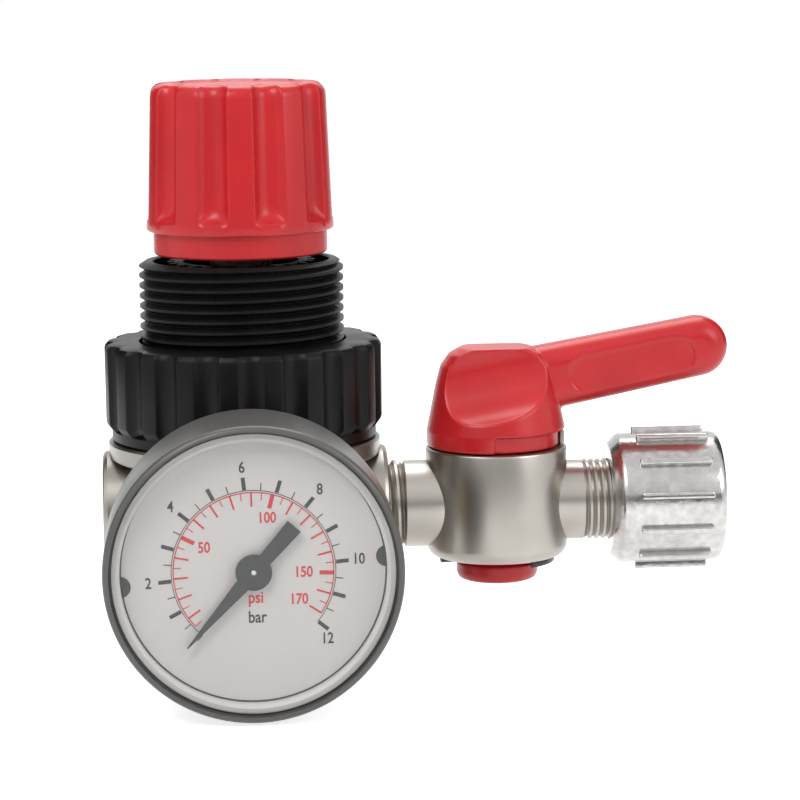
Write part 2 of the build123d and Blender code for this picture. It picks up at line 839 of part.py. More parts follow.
# Gauge dial: thin plate with a shaft hole and two half-round notches at its edge
with BuildPart() as gauge_dial:
    with BuildSketch(gauge_level(dial_face - dial_t, gauge_roll)):
        Circle(dial_r)
        Circle(shaft_r + 0.3, mode=Mode.SUBTRACT)
        with PolarLocations(notch_pitch_r, 2):
            Circle(notch_r, mode=Mode.SUBTRACT)
    extrude(amount=dial_t)
finish(gauge_dial.part, "gauge_dial")

# Gauge pointer: tapered blade with a hub and a broad tail, at zero
with BuildPart() as gauge_pointer:
    blade_z = dial_face + 0.6
    with BuildSketch(gauge_level(blade_z, gauge_roll + pointer_angle)):
        with BuildLine():
            Polyline(
                (pointer_tip, 0),
                (pointer_tip - 0.8, 0.35),
                (0, 1.25),
                (-pointer_tail + 0.4, 1.1),
                (-pointer_tail, 0.6),
                (-pointer_tail, -0.6),
                (-pointer_tail + 0.4, -1.1),
                (0, -1.25),
                (pointer_tip - 0.8, -0.35),
                close=True,
            )
        make_face()
        Circle(pointer_hub_r)
    extrude(amount=pointer_t)
    with BuildSketch(gauge_level(blade_z - 0.3)):
        Circle(1.5)
        Circle(shaft_r + 0.02, mode=Mode.SUBTRACT)
    extrude(amount=0.3)
finish(gauge_pointer.part, "gauge_pointer")

# Gauge socket: G1/8 stem, hexagon, case flange and the block that carries tube and movement
hexagon_start = gauge_boss_reach + seal_washer_t
block_back = case_back + case_floor + socket_flange_t
block_front = block_back + 5.8
with BuildPart() as gauge_socket:
    with BuildSketch(gauge_level(gauge_boss_reach - gauge_port_depth + 0.5)):
        Circle(gauge_thread_r)
    extrude(amount=gauge_port_depth - 0.5 + seal_washer_t)
    with BuildSketch(gauge_level(hexagon_start)):
        RegularPolygon(socket_hex / 2, 6, major_radius=False)
    extrude(amount=case_back - hexagon_start)
    with BuildSketch(gauge_level(case_back)):
        Circle(shaft_hole_r - drop_gap)
    extrude(amount=case_floor)
    with BuildSketch(gauge_level(case_back + case_floor)):
        Circle(socket_flange_r)
    extrude(amount=socket_flange_t)
    with BuildSketch(gauge_level(block_back, gauge_roll)):
        with Locations((0, (block_high - block_low) / 2)):
            Rectangle(block_w, block_high + block_low)
    extrude(amount=block_front - block_back)
    with BuildSketch(gauge_level(gauge_boss_reach - gauge_port_depth + 0.5)):
        Circle(1.2)
    extrude(amount=block_back - gauge_boss_reach + gauge_port_depth, mode=Mode.SUBTRACT)
finish(gauge_socket.part, "gauge_socket")

with BuildPart() as gauge_seal:
    front_ring = ring_section(
        gauge_section, gauge_thread_r + 0.1, gauge_boss_r - 0.6, gauge_boss_reach, hexagon_start
    )
    revolve(front_ring, axis=gauge_axis)
finish(gauge_seal.part, "gauge_seal")

# Bourdon tube: flattened tube bent round the gauge's axis, with its tip piece and pin
tube_mid = block_back + 0.4 + tube_w / 2
tube_low = block_w / 2 + 0.02
tube_in_r = tube_ring_r - tube_t / 2
tube_end_angle = 180 + degrees(atan2(sqrt(tube_in_r**2 - tube_low**2), tube_low))
link_face = block_front + plate_t + 2.75
tip_x = tube_ring_r * cos(radians(tip_angle))
tip_y = tube_ring_r * sin(radians(tip_angle))
tip_turn = radians(gauge_roll + tip_angle)
tube_section = Plane(
    (port_reach, 0, -gauge_drop),
    x_dir=(cos(tip_turn), 0, sin(tip_turn)),
    z_dir=(sin(tip_turn), 0, -cos(tip_turn)),
)
with BuildPart() as bourdon_tube:
    with BuildSketch(tube_section):
        with Locations((tube_ring_r, tube_mid)):
            wall = Rectangle(tube_t, tube_w)
        chamfer(wall.vertices(), tube_corner)
    revolve(axis=gauge_axis, revolution_arc=tube_end_angle - tip_angle)
    with BuildSketch(gauge_level(tube_mid - tube_w / 2, gauge_roll)):
        with Locations((tip_x + 0.2, tip_y - tube_tip_w / 2)):
            Rectangle(tube_t + 1.0, tube_tip_w)
    extrude(amount=link_face - 0.3 - tube_mid + tube_w / 2)
    with BuildSketch(gauge_level(link_face - 0.3, gauge_roll)):
        with Locations((tip_x, tip_y - tube_tip_w / 2)):
            Circle(pin_r)
    extrude(amount=1.2)
finish(bourdon_tube.part, "bourdon_tube")

# Movement frame: two plates on pillars, in front of the socket's block
pivot_x = (sector_r + pinion_r) * cos(radians(sector_angle))
pivot_y = (sector_r + pinion_r) * sin(radians(sector_angle))
front_plate = block_front + plate_t + plate_gap
pillars = [(6.5, 3.0), (-6.0, -10.5)]
arbor_r = 0.7
with BuildPart() as movement_frame:
    for level in (block_front, front_plate):
        with BuildSketch(gauge_level(level, gauge_roll)):
            Circle(3.0)
            with Locations((pivot_x, pivot_y)):
                Circle(2.2)
            with Locations(*pillars):
                Circle(2.0)
            make_hull()
            Circle(shaft_r + running_gap, mode=Mode.SUBTRACT)
            with Locations((pivot_x, pivot_y)):
                Circle(arbor_r + running_gap, mode=Mode.SUBTRACT)
        extrude(amount=plate_t)
    with BuildSketch(gauge_level(block_front + plate_t, gauge_roll)):
        with Locations(*pillars):
            Circle(1.1)
    extrude(amount=plate_gap)
finish(movement_frame.part, "movement_frame")

# Pointer shaft with its pinion
sector_level = block_front + plate_t + 1.6
with BuildPart() as pointer_shaft:
    with BuildSketch(gauge_level(block_front + 0.1)):
        Circle(shaft_r)
    extrude(amount=blade_z - block_front - 0.1)
    with BuildSketch(gauge_level(sector_level - 0.4, gauge_roll)):
        Circle(pinion_r - 1.3 * gear_module)
        with PolarLocations(0, pinion_teeth, start_angle=sector_angle):
            tooth_root = pinion_r - 1.5 * gear_module
            tooth_tip = pinion_r + 0.85 * gear_module
            Polygon(
                (tooth_root, -0.16),
                (tooth_tip, -0.07),
                (tooth_tip, 0.07),
                (tooth_root, 0.16),
                align=None,
            )
    extrude(amount=sector_t + 0.8)
finish(pointer_shaft.part, "pointer_shaft")

# Sector gear: toothed rim, web, arbor, and the tail with the link's pin
tooth_pitch = 360 / sector_teeth
mesh_angle = sector_angle + 180
teeth_in_swing = round(sector_swing / tooth_pitch)
first_tooth = mesh_angle + 1.5 * tooth_pitch
rim_start = first_tooth - (teeth_in_swing + 3.5) * tooth_pitch
rim_sweep = (teeth_in_swing + 4) * tooth_pitch
tail_x = tail_arm * cos(radians(tail_angle))
tail_y = tail_arm * sin(radians(tail_angle))
pivot_plane = gauge_level(sector_level, gauge_roll)
pivot_plane.origin = pivot_plane.from_local_coords((pivot_x, pivot_y))
with BuildPart() as sector_gear:
    extrude(
        ring_sector(
            pivot_plane, sector_r - 1.9, sector_r - 1.3 * gear_module, rim_start, rim_sweep
        ),
        amount=sector_t,
    )
    with BuildSketch(pivot_plane):
        with Locations(
            *[
                Location((0, 0), first_tooth - k * tooth_pitch)
                for k in range(teeth_in_swing + 4)
            ]
        ):
            Polygon(
                (sector_r - 1.5 * gear_module, -0.2),
                (sector_r + 0.85 * gear_module, -0.08),
                (sector_r + 0.85 * gear_module, 0.08),
                (sector_r - 1.5 * gear_module, 0.2),
                align=None,
            )
    extrude(amount=sector_t)
    with BuildSketch(pivot_plane):
        Circle(1.7)
        spoke_angle = rim_start + rim_sweep / 2
        with Locations(Location((0, 0), spoke_angle)):
            Polygon((0, -1.4), (sector_r - 1.4, -1.9), (sector_r - 1.4, 1.9), (0, 1.4), align=None)
        with Locations((tail_x, tail_y)):
            Circle(1.0)
        with Locations(Location((0, 0), tail_angle)):
            Polygon((0, -1.2), (tail_arm, -0.9), (tail_arm, 0.9), (0, 1.2), align=None)
    extrude(amount=sector_t)
    with BuildSketch(pivot_plane.offset(sector_t)):
        with Locations((tail_x, tail_y)):
            Circle(pin_r)
    extrude(amount=1.2)
    with BuildSketch(pivot_plane.offset(block_front + 0.1 - sector_level)):
        Circle(arbor_r)
    extrude(amount=2 * plate_t + plate_gap - 0.2)
finish(sector_gear.part, "sector_gear")

# Link from the sector's tail to the tube's tip, slotted where it meets the tip's pin
link_from = (pivot_x + tail_x, pivot_y + tail_y)
link_to = (tip_x, tip_y - tube_tip_w / 2)
link_l = hypot(link_to[0] - link_from[0], link_to[1] - link_from[1])
link_angle = degrees(atan2(link_to[1] - link_from[1], link_to[0] - link_from[0]))
swung_y = tail_arm * sin(radians(tail_angle + sector_swing)) + pivot_y
swung_x = tail_arm * cos(radians(tail_angle + sector_swing)) + pivot_x
link_short = hypot(link_to[0] - swung_x, link_to[1] - swung_y)
swung_angle = degrees(atan2(link_to[1] - swung_y, link_to[0] - swung_x))
slot_r = pin_r + 0.3
with BuildPart() as gauge_link:
    with BuildSketch(gauge_level(link_face, gauge_roll)):
        with Locations(Location(link_from, link_angle)):
            Circle(1.0)
            with Locations((link_l / 2, 0)):
                Rectangle(link_l, 1.5)
            with Locations(((link_l + link_short) / 2, 0)):
                SlotCenterToCenter(link_l - link_short, 2 * slot_r + 1.2)
            Circle(pin_r + running_gap, mode=Mode.SUBTRACT)
            with Locations(((link_l + link_short) / 2, 0)):
                SlotCenterToCenter(link_l - link_short, 2 * slot_r, mode=Mode.SUBTRACT)
    extrude(amount=0.5)
finish(gauge_link.part, "gauge_link")

# Valve housing: barrel with its G1/4 stub, its M12 stub and hose spigot, and the stop lug
with BuildPart() as valve_housing:
    barrel = outline(
        valve_section,
        [
            (0, housing_bottom),
            (housing_r - housing_round, housing_bottom),
            (housing_r - 0.5 * housing_round, housing_bottom + 0.13 * housing_round),
            (housing_r - 0.13 * housing_round, housing_bottom + 0.5 * housing_round),
            (housing_r, housing_bottom + housing_round),
            (housing_r, housing_top - housing_bevel),
            (housing_r - housing_bevel, housing_top),
            (0, housing_top),
        ],
    )
    revolve(barrel, axis=valve_axis)
    stub_start = 2 * port_reach - port_depth + 2.0
    with BuildSketch(port_section):
        with BuildLine():
            Polyline(
                (stub_start, 0),
                (stub_start, port_outside_r - 0.8),
                (stub_start + 0.8, port_outside_r),
                (port_reach + inlet_stub_start, port_outside_r),
                (port_reach + inlet_stub_start, inlet_stub_r),
                (valve_x, inlet_stub_r),
                (valve_x, outlet_stub_r),
                (port_reach + hose_thread_start, outlet_stub_r),
                (port_reach + hose_thread_start, hose_thread_r),
                (port_reach + hose_thread_end - 0.6, hose_thread_r),
                (port_reach + hose_thread_end, hose_thread_r - 0.6),
                (port_reach + hose_thread_end, spigot_out_r),
                (port_reach + spigot_end - 0.6, spigot_out_r),
                (port_reach + spigot_end, spigot_out_r - 0.6),
                (port_reach + spigot_end, 0),
                close=True,
            )
        make_face()
    revolve(axis=port_axis)
    with BuildSketch(valve_level(housing_bottom)):
        Circle(plug_r + running_gap)
    extrude(amount=housing_top - housing_bottom, mode=Mode.SUBTRACT)
    with BuildSketch(flow_station(stub_start)):
        Circle(flow_r)
    extrude(amount=port_reach + hose_thread_start + 3 - stub_start, mode=Mode.SUBTRACT)
    with BuildSketch(flow_station(valve_x)):
        Circle(spigot_bore_r)
    extrude(amount=port_reach + spigot_end - valve_x, mode=Mode.SUBTRACT)
    lug = ring_sector(
        valve_level(housing_top), stop_lug_in_r, stop_lug_r - 0.2, -stop_angle + 0.3, 2 * stop_angle - 0.6
    )
    extrude(lug, amount=stop_lug_h)
finish(valve_housing.part, "valve_housing")

# Lever: domed cap with two thumb scoops, tapered arm, stop skirt, and the plug below it
lever_tilt = degrees(atan2(arm_tip_h - arm_root_h, arm_tip_x - arm_root_x))
cap_z = housing_top + cap_gap
with BuildPart() as lever_arm:
    with BuildSketch(Plane((valve_x, arm_t / 2, cap_z), x_dir=(1, 0, 0), z_dir=(0, -1, 0))):
        with Locations((arm_root_x, arm_root_h)):
            Circle(arm_root_r)
        with Locations((arm_tip_x, arm_tip_h)):
            Circle(arm_tip_r)
        make_hull()
    extrude(amount=arm_t)
    sides = lever_arm.faces().filter_by(Axis.Y)
    fillet(sides.edges(), arm_round)

scoop_r = ((scoop_low_y - arm_t / 2) ** 2 + (scoop_axis_h - scoop_low_h) ** 2) / (
    2 * (scoop_low_y - arm_t / 2)
)
with BuildPart() as valve_lever:
    dome_w = cap_shoulder_r - cap_flat_r
    dome_h = cap_h - cap_shoulder_h
    with BuildSketch(valve_section):
        with BuildLine():
            Polyline(
                (0, cap_z),
                (cap_r - 0.3, cap_z),
                (cap_r, cap_z + 0.3),
                (cap_r, cap_z + cap_skirt_h),
                (cap_shoulder_r, cap_z + cap_shoulder_h),
                (cap_shoulder_r - 0.2 * dome_w, cap_z + cap_shoulder_h + 0.5 * dome_h),
                (cap_shoulder_r - 0.55 * dome_w, cap_z + cap_shoulder_h + 0.83 * dome_h),
                (cap_flat_r, cap_z + cap_h),
                (0, cap_z + cap_h),
                (0, cap_z),
            )
        make_face()
    revolve(axis=valve_axis)
    for side in (-1, 1):
        scoop_plane = Plane(
            (valve_x, side * (arm_t / 2 + scoop_r), cap_z + scoop_axis_h),
            x_dir=(0, 1, 0),
            z_dir=(cos(radians(lever_tilt)), 0, sin(radians(lever_tilt))),
        )
        with BuildSketch(scoop_plane):
            Circle(scoop_r)
        extrude(amount=20, both=True, mode=Mode.SUBTRACT)
    add(lever_arm.part)
    panel_x = (arm_root_x + arm_tip_x) / 2 + 3.2
    panel_h = (arm_root_h + arm_tip_h) / 2 + 0.1
    for side in (-1, 1):
        panel_plane = Plane(
            (valve_x, side * (arm_t / 2 - panel_depth), cap_z), x_dir=(1, 0, 0), z_dir=(0, -1, 0)
        )
        with BuildSketch(panel_plane):
            with Locations(Location((panel_x, panel_h), lever_tilt)):
                SlotOverall(panel_l, panel_w)
        extrude(amount=-side * 2, mode=Mode.SUBTRACT)
    # the skirt is cut back over the stop lug and over the quarter turn
    cut_back = ring_sector(
        valve_level(cap_z), skirt_ring_r, cap_r + 1, -90 - stop_angle, 90 + 2 * stop_angle
    )
    extrude(cut_back, amount=stop_lug_h + 0.3, mode=Mode.SUBTRACT)
    core = ring_section(valve_section, core_in_r, core_out_r, cap_z, cap_z + core_depth)
    revolve(core, axis=valve_axis, mode=Mode.SUBTRACT)
    # plug through the housing, ring grooves, clip groove and button
    clip_top = housing_bottom - retainer_gap
    clip_low = clip_top - retainer_t - 0.1
    button_low = clip_low - button_h
    with BuildSketch(valve_section):
        with BuildLine():
            Polyline(
                (0, button_low),
                (button_r - button_round, button_low),
                (button_r - 0.3 * button_round, button_low + 0.3 * button_round),
                (button_r, button_low + button_round),
                (button_r, clip_low),
                (retainer_groove_r, clip_low),
                (retainer_groove_r, clip_top),
                (plug_r, clip_top),
                (plug_r, cap_z),
                (0, cap_z),
                (0, button_low),
            )
        make_face()
    revolve(axis=valve_axis)
    with BuildSketch(flow_station(valve_x)):
        Circle(flow_r)
    extrude(amount=housing_r, both=True, mode=Mode.SUBTRACT)
    groove_w = 2 * plug_ring_section + 0.1
    for level in (-plug_ring_z, plug_ring_z):
        ring_groove = ring_section(
            valve_section,
            plug_r - 2 * plug_ring_section,
            plug_r + 1,
            level - groove_w / 2,
            level + groove_w / 2,
        )
        revolve(ring_groove, axis=valve_axis, mode=Mode.SUBTRACT)
finish(valve_lever.part, "valve_lever")

# O-rings of the plug, above and below the flow bore
with BuildPart() as plug_o_rings:
    with BuildSketch(valve_section):
        ring_r = plug_r - plug_ring_section + 0.02
        with Locations((ring_r, -plug_ring_z), (ring_r, plug_ring_z)):
            RegularPolygon(plug_ring_section, 8, major_radius=False, rotation=22.5)
    revolve(axis=valve_axis)
finish(plug_o_rings.part, "plug_o_rings")

# Spring clip in the plug's groove, under the housing
with BuildPart() as retaining_clip:
    clip_plane = valve_level(clip_top - retainer_t - 0.05)
    extrude(
        ring_sector(clip_plane, retainer_groove_r + 0.05, retainer_r, 150, 300),
        amount=retainer_t,
    )
finish(retaining_clip.part, "retaining_clip")

# Hose nut: bevelled small end, twelve ribs, thread bore, cavity and the hose's mouth
nut_x = port_reach + nut_start
nut_end_x = port_reach + nut_end
lip_x = nut_end_x - nut_lip
with BuildPart() as hose_nut:
    with BuildSketch(port_section):
        with BuildLine():
            Polyline(
                (nut_x, hose_thread_r + thread_gap),
                (nut_x, nut_small_r),
                (nut_x + nut_bevel, nut_r),
                (nut_end_x - 0.5, nut_r),
                (nut_end_x, nut_r - 0.5),
                (nut_end_x, nut_mouth_r),
                (lip_x, nut_mouth_r),
                (lip_x, nut_cavity_r),
                (nut_x + nut_thread_l, nut_cavity_r),
                (nut_x + nut_thread_l, hose_thread_r + thread_gap),
                close=True,
            )
        make_face()
    revolve(axis=port_axis)
    rib_h = nut_rib_tip_r - nut_r + 0.4
    with BuildSketch(flow_station(nut_x + nut_rib_start)):
        with PolarLocations(nut_rib_tip_r - rib_h / 2, nut_rib_count):
            Rectangle(rib_h, nut_rib_w)
    extrude(amount=nut_rib_l)
finish(hose_nut.part, "hose_nut")

# Clamp ring that the nut draws over the hose
with BuildPart() as hose_clamp_ring:
    with BuildSketch(port_section):
        with BuildLine():
            Polyline(
                (lip_x - clamp_ring_t, clamp_ring_bore_r + 0.9),
                (lip_x - clamp_ring_t, nut_cavity_r - running_gap),
                (lip_x, nut_cavity_r - running_gap),
                (lip_x, clamp_ring_bore_r),
                (lip_x - clamp_ring_t / 2, clamp_ring_bore_r),
                close=True,
            )
        make_face()
    revolve(axis=port_axis)
finish(hose_clamp_ring.part, "hose_clamp_ring")
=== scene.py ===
# %% [markdown]
# # Inline air pressure regulator
# A small regulator for compressed air: a nickel-plated body with a black spring housing and a red knob
# above it, a 40 mm gauge in front, and a shut-off valve with a red lever and a hose nut at its side.
# The CAD model gives every size. This lesson dresses it: it models the pieces whose finish shows, and
# gives each of the others a material.
#
# All sizes are in millimetres. Three axes place the pieces: the tower's stands at TOWER_X, the valve's at
# VALVE_X, and the gauge's points to the front from TOWER_X at the height GAUGE_Z.

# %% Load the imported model
import json
import math

import bmesh
import bpy
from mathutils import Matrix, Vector


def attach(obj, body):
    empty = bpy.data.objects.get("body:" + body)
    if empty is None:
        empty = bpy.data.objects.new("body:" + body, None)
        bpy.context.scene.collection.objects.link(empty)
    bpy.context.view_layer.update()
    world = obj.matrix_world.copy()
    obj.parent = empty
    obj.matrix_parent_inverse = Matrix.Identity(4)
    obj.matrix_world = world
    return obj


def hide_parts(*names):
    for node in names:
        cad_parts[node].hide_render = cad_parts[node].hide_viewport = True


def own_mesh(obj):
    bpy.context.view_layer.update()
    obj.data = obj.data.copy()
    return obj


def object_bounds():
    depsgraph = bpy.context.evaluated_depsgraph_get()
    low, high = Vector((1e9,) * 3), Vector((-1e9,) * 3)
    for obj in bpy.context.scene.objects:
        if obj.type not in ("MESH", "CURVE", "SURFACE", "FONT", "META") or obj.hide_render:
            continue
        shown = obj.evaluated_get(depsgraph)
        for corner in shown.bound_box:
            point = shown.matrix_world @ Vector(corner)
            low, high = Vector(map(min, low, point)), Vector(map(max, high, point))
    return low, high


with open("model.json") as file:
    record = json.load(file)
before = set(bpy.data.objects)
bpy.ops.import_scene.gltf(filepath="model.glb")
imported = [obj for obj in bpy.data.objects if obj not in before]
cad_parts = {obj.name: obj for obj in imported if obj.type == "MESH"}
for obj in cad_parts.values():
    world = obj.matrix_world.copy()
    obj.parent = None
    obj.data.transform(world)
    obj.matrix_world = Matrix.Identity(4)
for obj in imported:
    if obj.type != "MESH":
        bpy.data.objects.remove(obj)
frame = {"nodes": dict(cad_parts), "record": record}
cad_low, cad_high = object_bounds()

MM = 0.001
TOWER_X = 21.0
VALVE_X = 58.44
GAUGE_Z = -0.6
print("CAD box in mm:", [round((b - a) / MM, 2) for a, b in zip(cad_low, cad_high)])

# %% [markdown]
# ## Working by hand, in code
# The lesson uses the same operators as a modeller with a mouse. Small helpers keep it short. They choose a
# piece, or its faces and edges by a rule, run a modifier and apply it, unite shapes or cut them, and write
# a piece's place into its mesh. They could be typed out each time, but then the shapes would be hard to
# see between the operators.


# %% Choosing
def clear_selection():
    bpy.ops.object.select_all(action="DESELECT")


def make_active(piece):
    clear_selection()
    piece.select_set(True)
    bpy.context.view_layer.objects.active = piece


def choose_faces(piece, rule):
    """In edit mode, selects the faces whose centre and normal, in millimetres, obey the rule."""
    bpy.ops.mesh.select_mode(type="FACE")
    bpy.ops.mesh.select_all(action="DESELECT")
    mesh = bmesh.from_edit_mesh(piece.data)
    for face in mesh.faces:
        face.select_set(rule(face.calc_center_median() / MM, face.normal))
    mesh.select_flush_mode()
    bmesh.update_edit_mesh(piece.data)


def choose_edges(piece, rule):
    """In edit mode, selects the edges whose two ends, in millimetres, and face angle obey the rule."""
    bpy.ops.mesh.select_mode(type="EDGE")
    bpy.ops.mesh.select_all(action="DESELECT")
    mesh = bmesh.from_edit_mesh(piece.data)
    for edge in mesh.edges:
        first, second = (corner.co / MM for corner in edge.verts)
        edge.select_set(rule(first, second, edge.calc_face_angle(0)))
    bmesh.update_edit_mesh(piece.data)


# %% Welding and turning faces outwards
def weld(distance):
    """In edit mode, merges all corners that lie closer together than this distance."""
    bpy.ops.mesh.select_all(action="SELECT")
    bpy.ops.mesh.remove_doubles(threshold=distance * MM)


def face_outwards():
    """Turns every face of the piece in edit mode outwards and goes back to object mode."""
    bpy.ops.mesh.select_all(action="SELECT")
    bpy.ops.mesh.normals_make_consistent(inside=False)
    bpy.ops.object.mode_set(mode="OBJECT")


# %% Modifiers, joining and placing
def add_modifier(piece, kind, **settings):
    """Adds a modifier with these settings and applies it."""
    make_active(piece)
    modifier = piece.modifiers.new(kind.title(), kind)
    for name, value in settings.items():
        setattr(modifier, name, value)
    bpy.ops.object.modifier_apply(modifier=modifier.name)


def combine(piece, other, operation="UNION"):
    """Adds the other shape to the piece, or cuts it away, and deletes the other shape."""
    add_modifier(piece, "BOOLEAN", operation=operation, solver="EXACT", object=other)
    bpy.data.objects.remove(other)
    return piece


def join(pieces, name):
    make_active(pieces[0])
    for piece in pieces[1:]:
        piece.select_set(True)
    bpy.ops.object.join()
    pieces[0].name = name
    return pieces[0]


def lay(piece, place=(0, 0, 0), turn=(0, 0, 0)):
    """Turns and moves the piece, then writes that into its mesh, so the object stays at the origin."""
    make_active(piece)
    piece.rotation_euler = [math.radians(angle) for angle in turn]
    piece.location = [value * MM for value in place]
    bpy.ops.object.transform_apply(location=True, rotation=True, scale=True)
    return piece


ALONG_FLOW = (0, 90, 0)  # turns a piece's own Z to the outlet
ALONG_GAUGE = (90, 0, 0)  # turns a piece's own Z to the front


def on_tower(piece):
    return lay(piece, (TOWER_X, 0, 0))


def on_valve(piece):
    return lay(piece, (VALVE_X, 0, 0))


def on_gauge(piece):
    return lay(piece, (TOWER_X, 0, GAUGE_Z), ALONG_GAUGE)


# %% Soft edges
def smooth(piece, angle):
    """Shades the piece smooth, except over edges that are sharper than this angle in degrees."""
    make_active(piece)
    bpy.ops.object.shade_smooth_by_angle(angle=math.radians(angle))


SHARP_ANGLE = 30  # edges that turn by more than this many degrees are bevelled


def soften(piece, width, segments=2):
    """Rounds the sharp edges and shades the rest smooth."""
    limit = math.radians(SHARP_ANGLE)
    add_modifier(
        piece, "BEVEL", width=width * MM, segments=segments, limit_method="ANGLE", angle_limit=limit
    )
    smooth(piece, SHARP_ANGLE)


# %% [markdown]
# ## Turned pieces
# Most of this object came off a lathe or has a lathe's shape. Spin needs a profile with a wall thickness;
# a quicker way is to add a circle and pull it up station by station, as on a potter's wheel. A loop that
# still shows flutes can also be rounded off little by little, which is how the flutes run out.


# %% Pull a loop through stations
def pull(piece, height, stations):
    """Extrudes the chosen face or loop from this height to each (radius, height, roundness) in turn."""
    for radius, level, *roundness in stations:
        bpy.ops.mesh.extrude_region_move(TRANSFORM_OT_translate={"value": (0, 0, (level - height) * MM)})
        height = level
        if roundness:
            bpy.ops.transform.tosphere(value=roundness[0])
        mesh = bmesh.from_edit_mesh(piece.data)
        widest = max(corner.co.xy.length for corner in mesh.verts if corner.select)
        size = radius * MM / widest
        bpy.ops.transform.resize(value=(size, size, 1), center_override=(0, 0, level * MM))


def turned(name, stations, sides):
    """A closed solid of revolution: its first and last stations are flat discs."""
    radius, height = stations[0]
    clear_selection()
    bpy.ops.mesh.primitive_circle_add(
        vertices=sides, radius=radius * MM, fill_type="NGON", location=(0, 0, height * MM)
    )
    piece = bpy.context.active_object
    piece.name = name
    bpy.ops.object.transform_apply(location=True)
    bpy.ops.object.mode_set(mode="EDIT")
    bpy.ops.mesh.select_all(action="SELECT")
    pull(piece, height, stations[1:])
    face_outwards()
    return piece


def turned_ring(name, stations, sides):
    """A turned ring with a hole through it: the last station meets the first."""
    piece = turned(name, stations, sides)
    bpy.ops.object.mode_set(mode="EDIT")
    choose_faces(piece, lambda centre, normal: centre.xy.length < 0.05 and abs(normal.z) > 0.9)
    bpy.ops.mesh.delete(type="ONLY_FACE")
    weld(0.002)
    face_outwards()
    return piece


def quarter(radius, height, size, start, end, steps):
    """Stations of a rounded edge about (radius, height), from angle start to end in degrees."""
    angles = [math.radians(start + (end - start) * step / steps) for step in range(steps + 1)]
    return [(radius + size * math.cos(a), height + size * math.sin(a)) for a in angles]


# %% Discs, blocks and rings of copies
def disc(name, radius, low, high, sides=64):
    return turned(name, [(radius, low), (radius, high)], sides)


def block(name, size, centre):
    """A box of this size about this centre."""
    clear_selection()
    bpy.ops.mesh.primitive_cube_add(size=1, location=[value * MM for value in centre])
    piece = bpy.context.active_object
    piece.name = name
    piece.scale = [value * MM for value in size]
    bpy.ops.object.transform_apply(location=True, scale=True)
    return piece


def ring_of(piece, count, first=0.0):
    """Copies the piece round the Z axis, each copy with its own mesh, and joins them."""
    copies = []
    for number in range(count):
        copy = piece.copy()
        copy.data = piece.data.copy()
        bpy.context.collection.objects.link(copy)
        copies.append(lay(copy, turn=(0, 0, first + 360 * number / count)))
    bpy.data.objects.remove(piece)
    return join(copies, "ring_of_copies")


# %% [markdown]
# ## Screw threads
# A thread is one ridge that climbs by a pitch each turn. Stacked rings would look alike from the side, but
# they have no start and no end. The Screw modifier winds a small profile into a true ridge. It is trimmed
# by a turned envelope, so that it fades out in the lead-in chamfer, and is then joined to its core.

# %% A thread's ridge
CREST_HALF, FOOT_HALF = 0.09, 0.49  # half the ridge's width at its crest and foot, in pitches
CREST_EXTRA = 0.1  # what the envelope trims off the crest
FOOT_DEPTH = 0.35  # how deep the ridge is rooted in its core


def thread(name, root_r, crest_r, pitch, envelope, low, high, steps=72):
    """The wound ridge of a thread between two heights, trimmed by the envelope's stations."""
    clear_selection()
    bpy.ops.mesh.primitive_plane_add(size=1)
    ridge = bpy.context.active_object
    ridge.name = name
    bpy.ops.object.mode_set(mode="EDIT")
    mesh = bmesh.from_edit_mesh(ridge.data)
    for corner in mesh.verts:
        outside = corner.co.x > 0
        reach = crest_r + CREST_EXTRA if outside else root_r
        half = (CREST_HALF if outside else FOOT_HALF) * pitch
        corner.co = Vector((reach * MM, 0, math.copysign(half, corner.co.y) * MM))
    bmesh.update_edit_mesh(ridge.data)
    choose_edges(ridge, lambda a, b, angle: a.x < root_r + 0.01 and b.x < root_r + 0.01)
    bpy.ops.mesh.extrude_region_move(TRANSFORM_OT_translate={"value": (-FOOT_DEPTH * MM, 0, 0)})
    bpy.ops.mesh.select_all(action="SELECT")
    bpy.ops.mesh.dissolve_faces()  # one face, or the sweep would have a wall inside it
    bpy.ops.transform.translate(value=(0, 0, (low - pitch) * MM))
    bpy.ops.object.mode_set(mode="OBJECT")
    add_modifier(
        ridge,
        "SCREW",
        axis="Z",
        screw_offset=pitch * MM,
        iterations=math.ceil((high - low) / pitch) + 2,
        steps=steps,
        render_steps=steps,
        use_merge_vertices=False,
        use_normal_calculate=True,
    )
    bpy.ops.object.mode_set(mode="EDIT")
    weld(0.0005)
    bpy.ops.mesh.fill_holes(sides=0)
    face_outwards()
    return combine(ridge, turned("envelope", envelope, 96), "INTERSECT")


# %% [markdown]
# ## Finishes
# Each finish is a procedural material on Object coordinates, so that it stays with its piece. What several
# finishes share is a node group: a cloudy variation that no real surface is without, and a fine grain. A
# picture could give the same, but it would blur close up and its seams would show on round pieces.


# %% Node helpers
def new_group(name, inputs, outputs):
    group = bpy.data.node_groups.new(name, "ShaderNodeTree")
    for label, kind, value in inputs:
        socket = group.interface.new_socket(label, in_out="INPUT", socket_type=kind)
        socket.default_value = value
    for label, kind in outputs:
        group.interface.new_socket(label, in_out="OUTPUT", socket_type=kind)
    return group


def node(tree, kind, place=(0, 0), **settings):
    made = tree.nodes.new(kind)
    made.location = place
    for name, value in settings.items():
        setattr(made, name, value)
    return made


def wire(tree, *links):
    """Links sockets, each link given as (node, output, node, input)."""
    for source, output, target, entry in links:
        tree.links.new(source.outputs[output], target.inputs[entry])


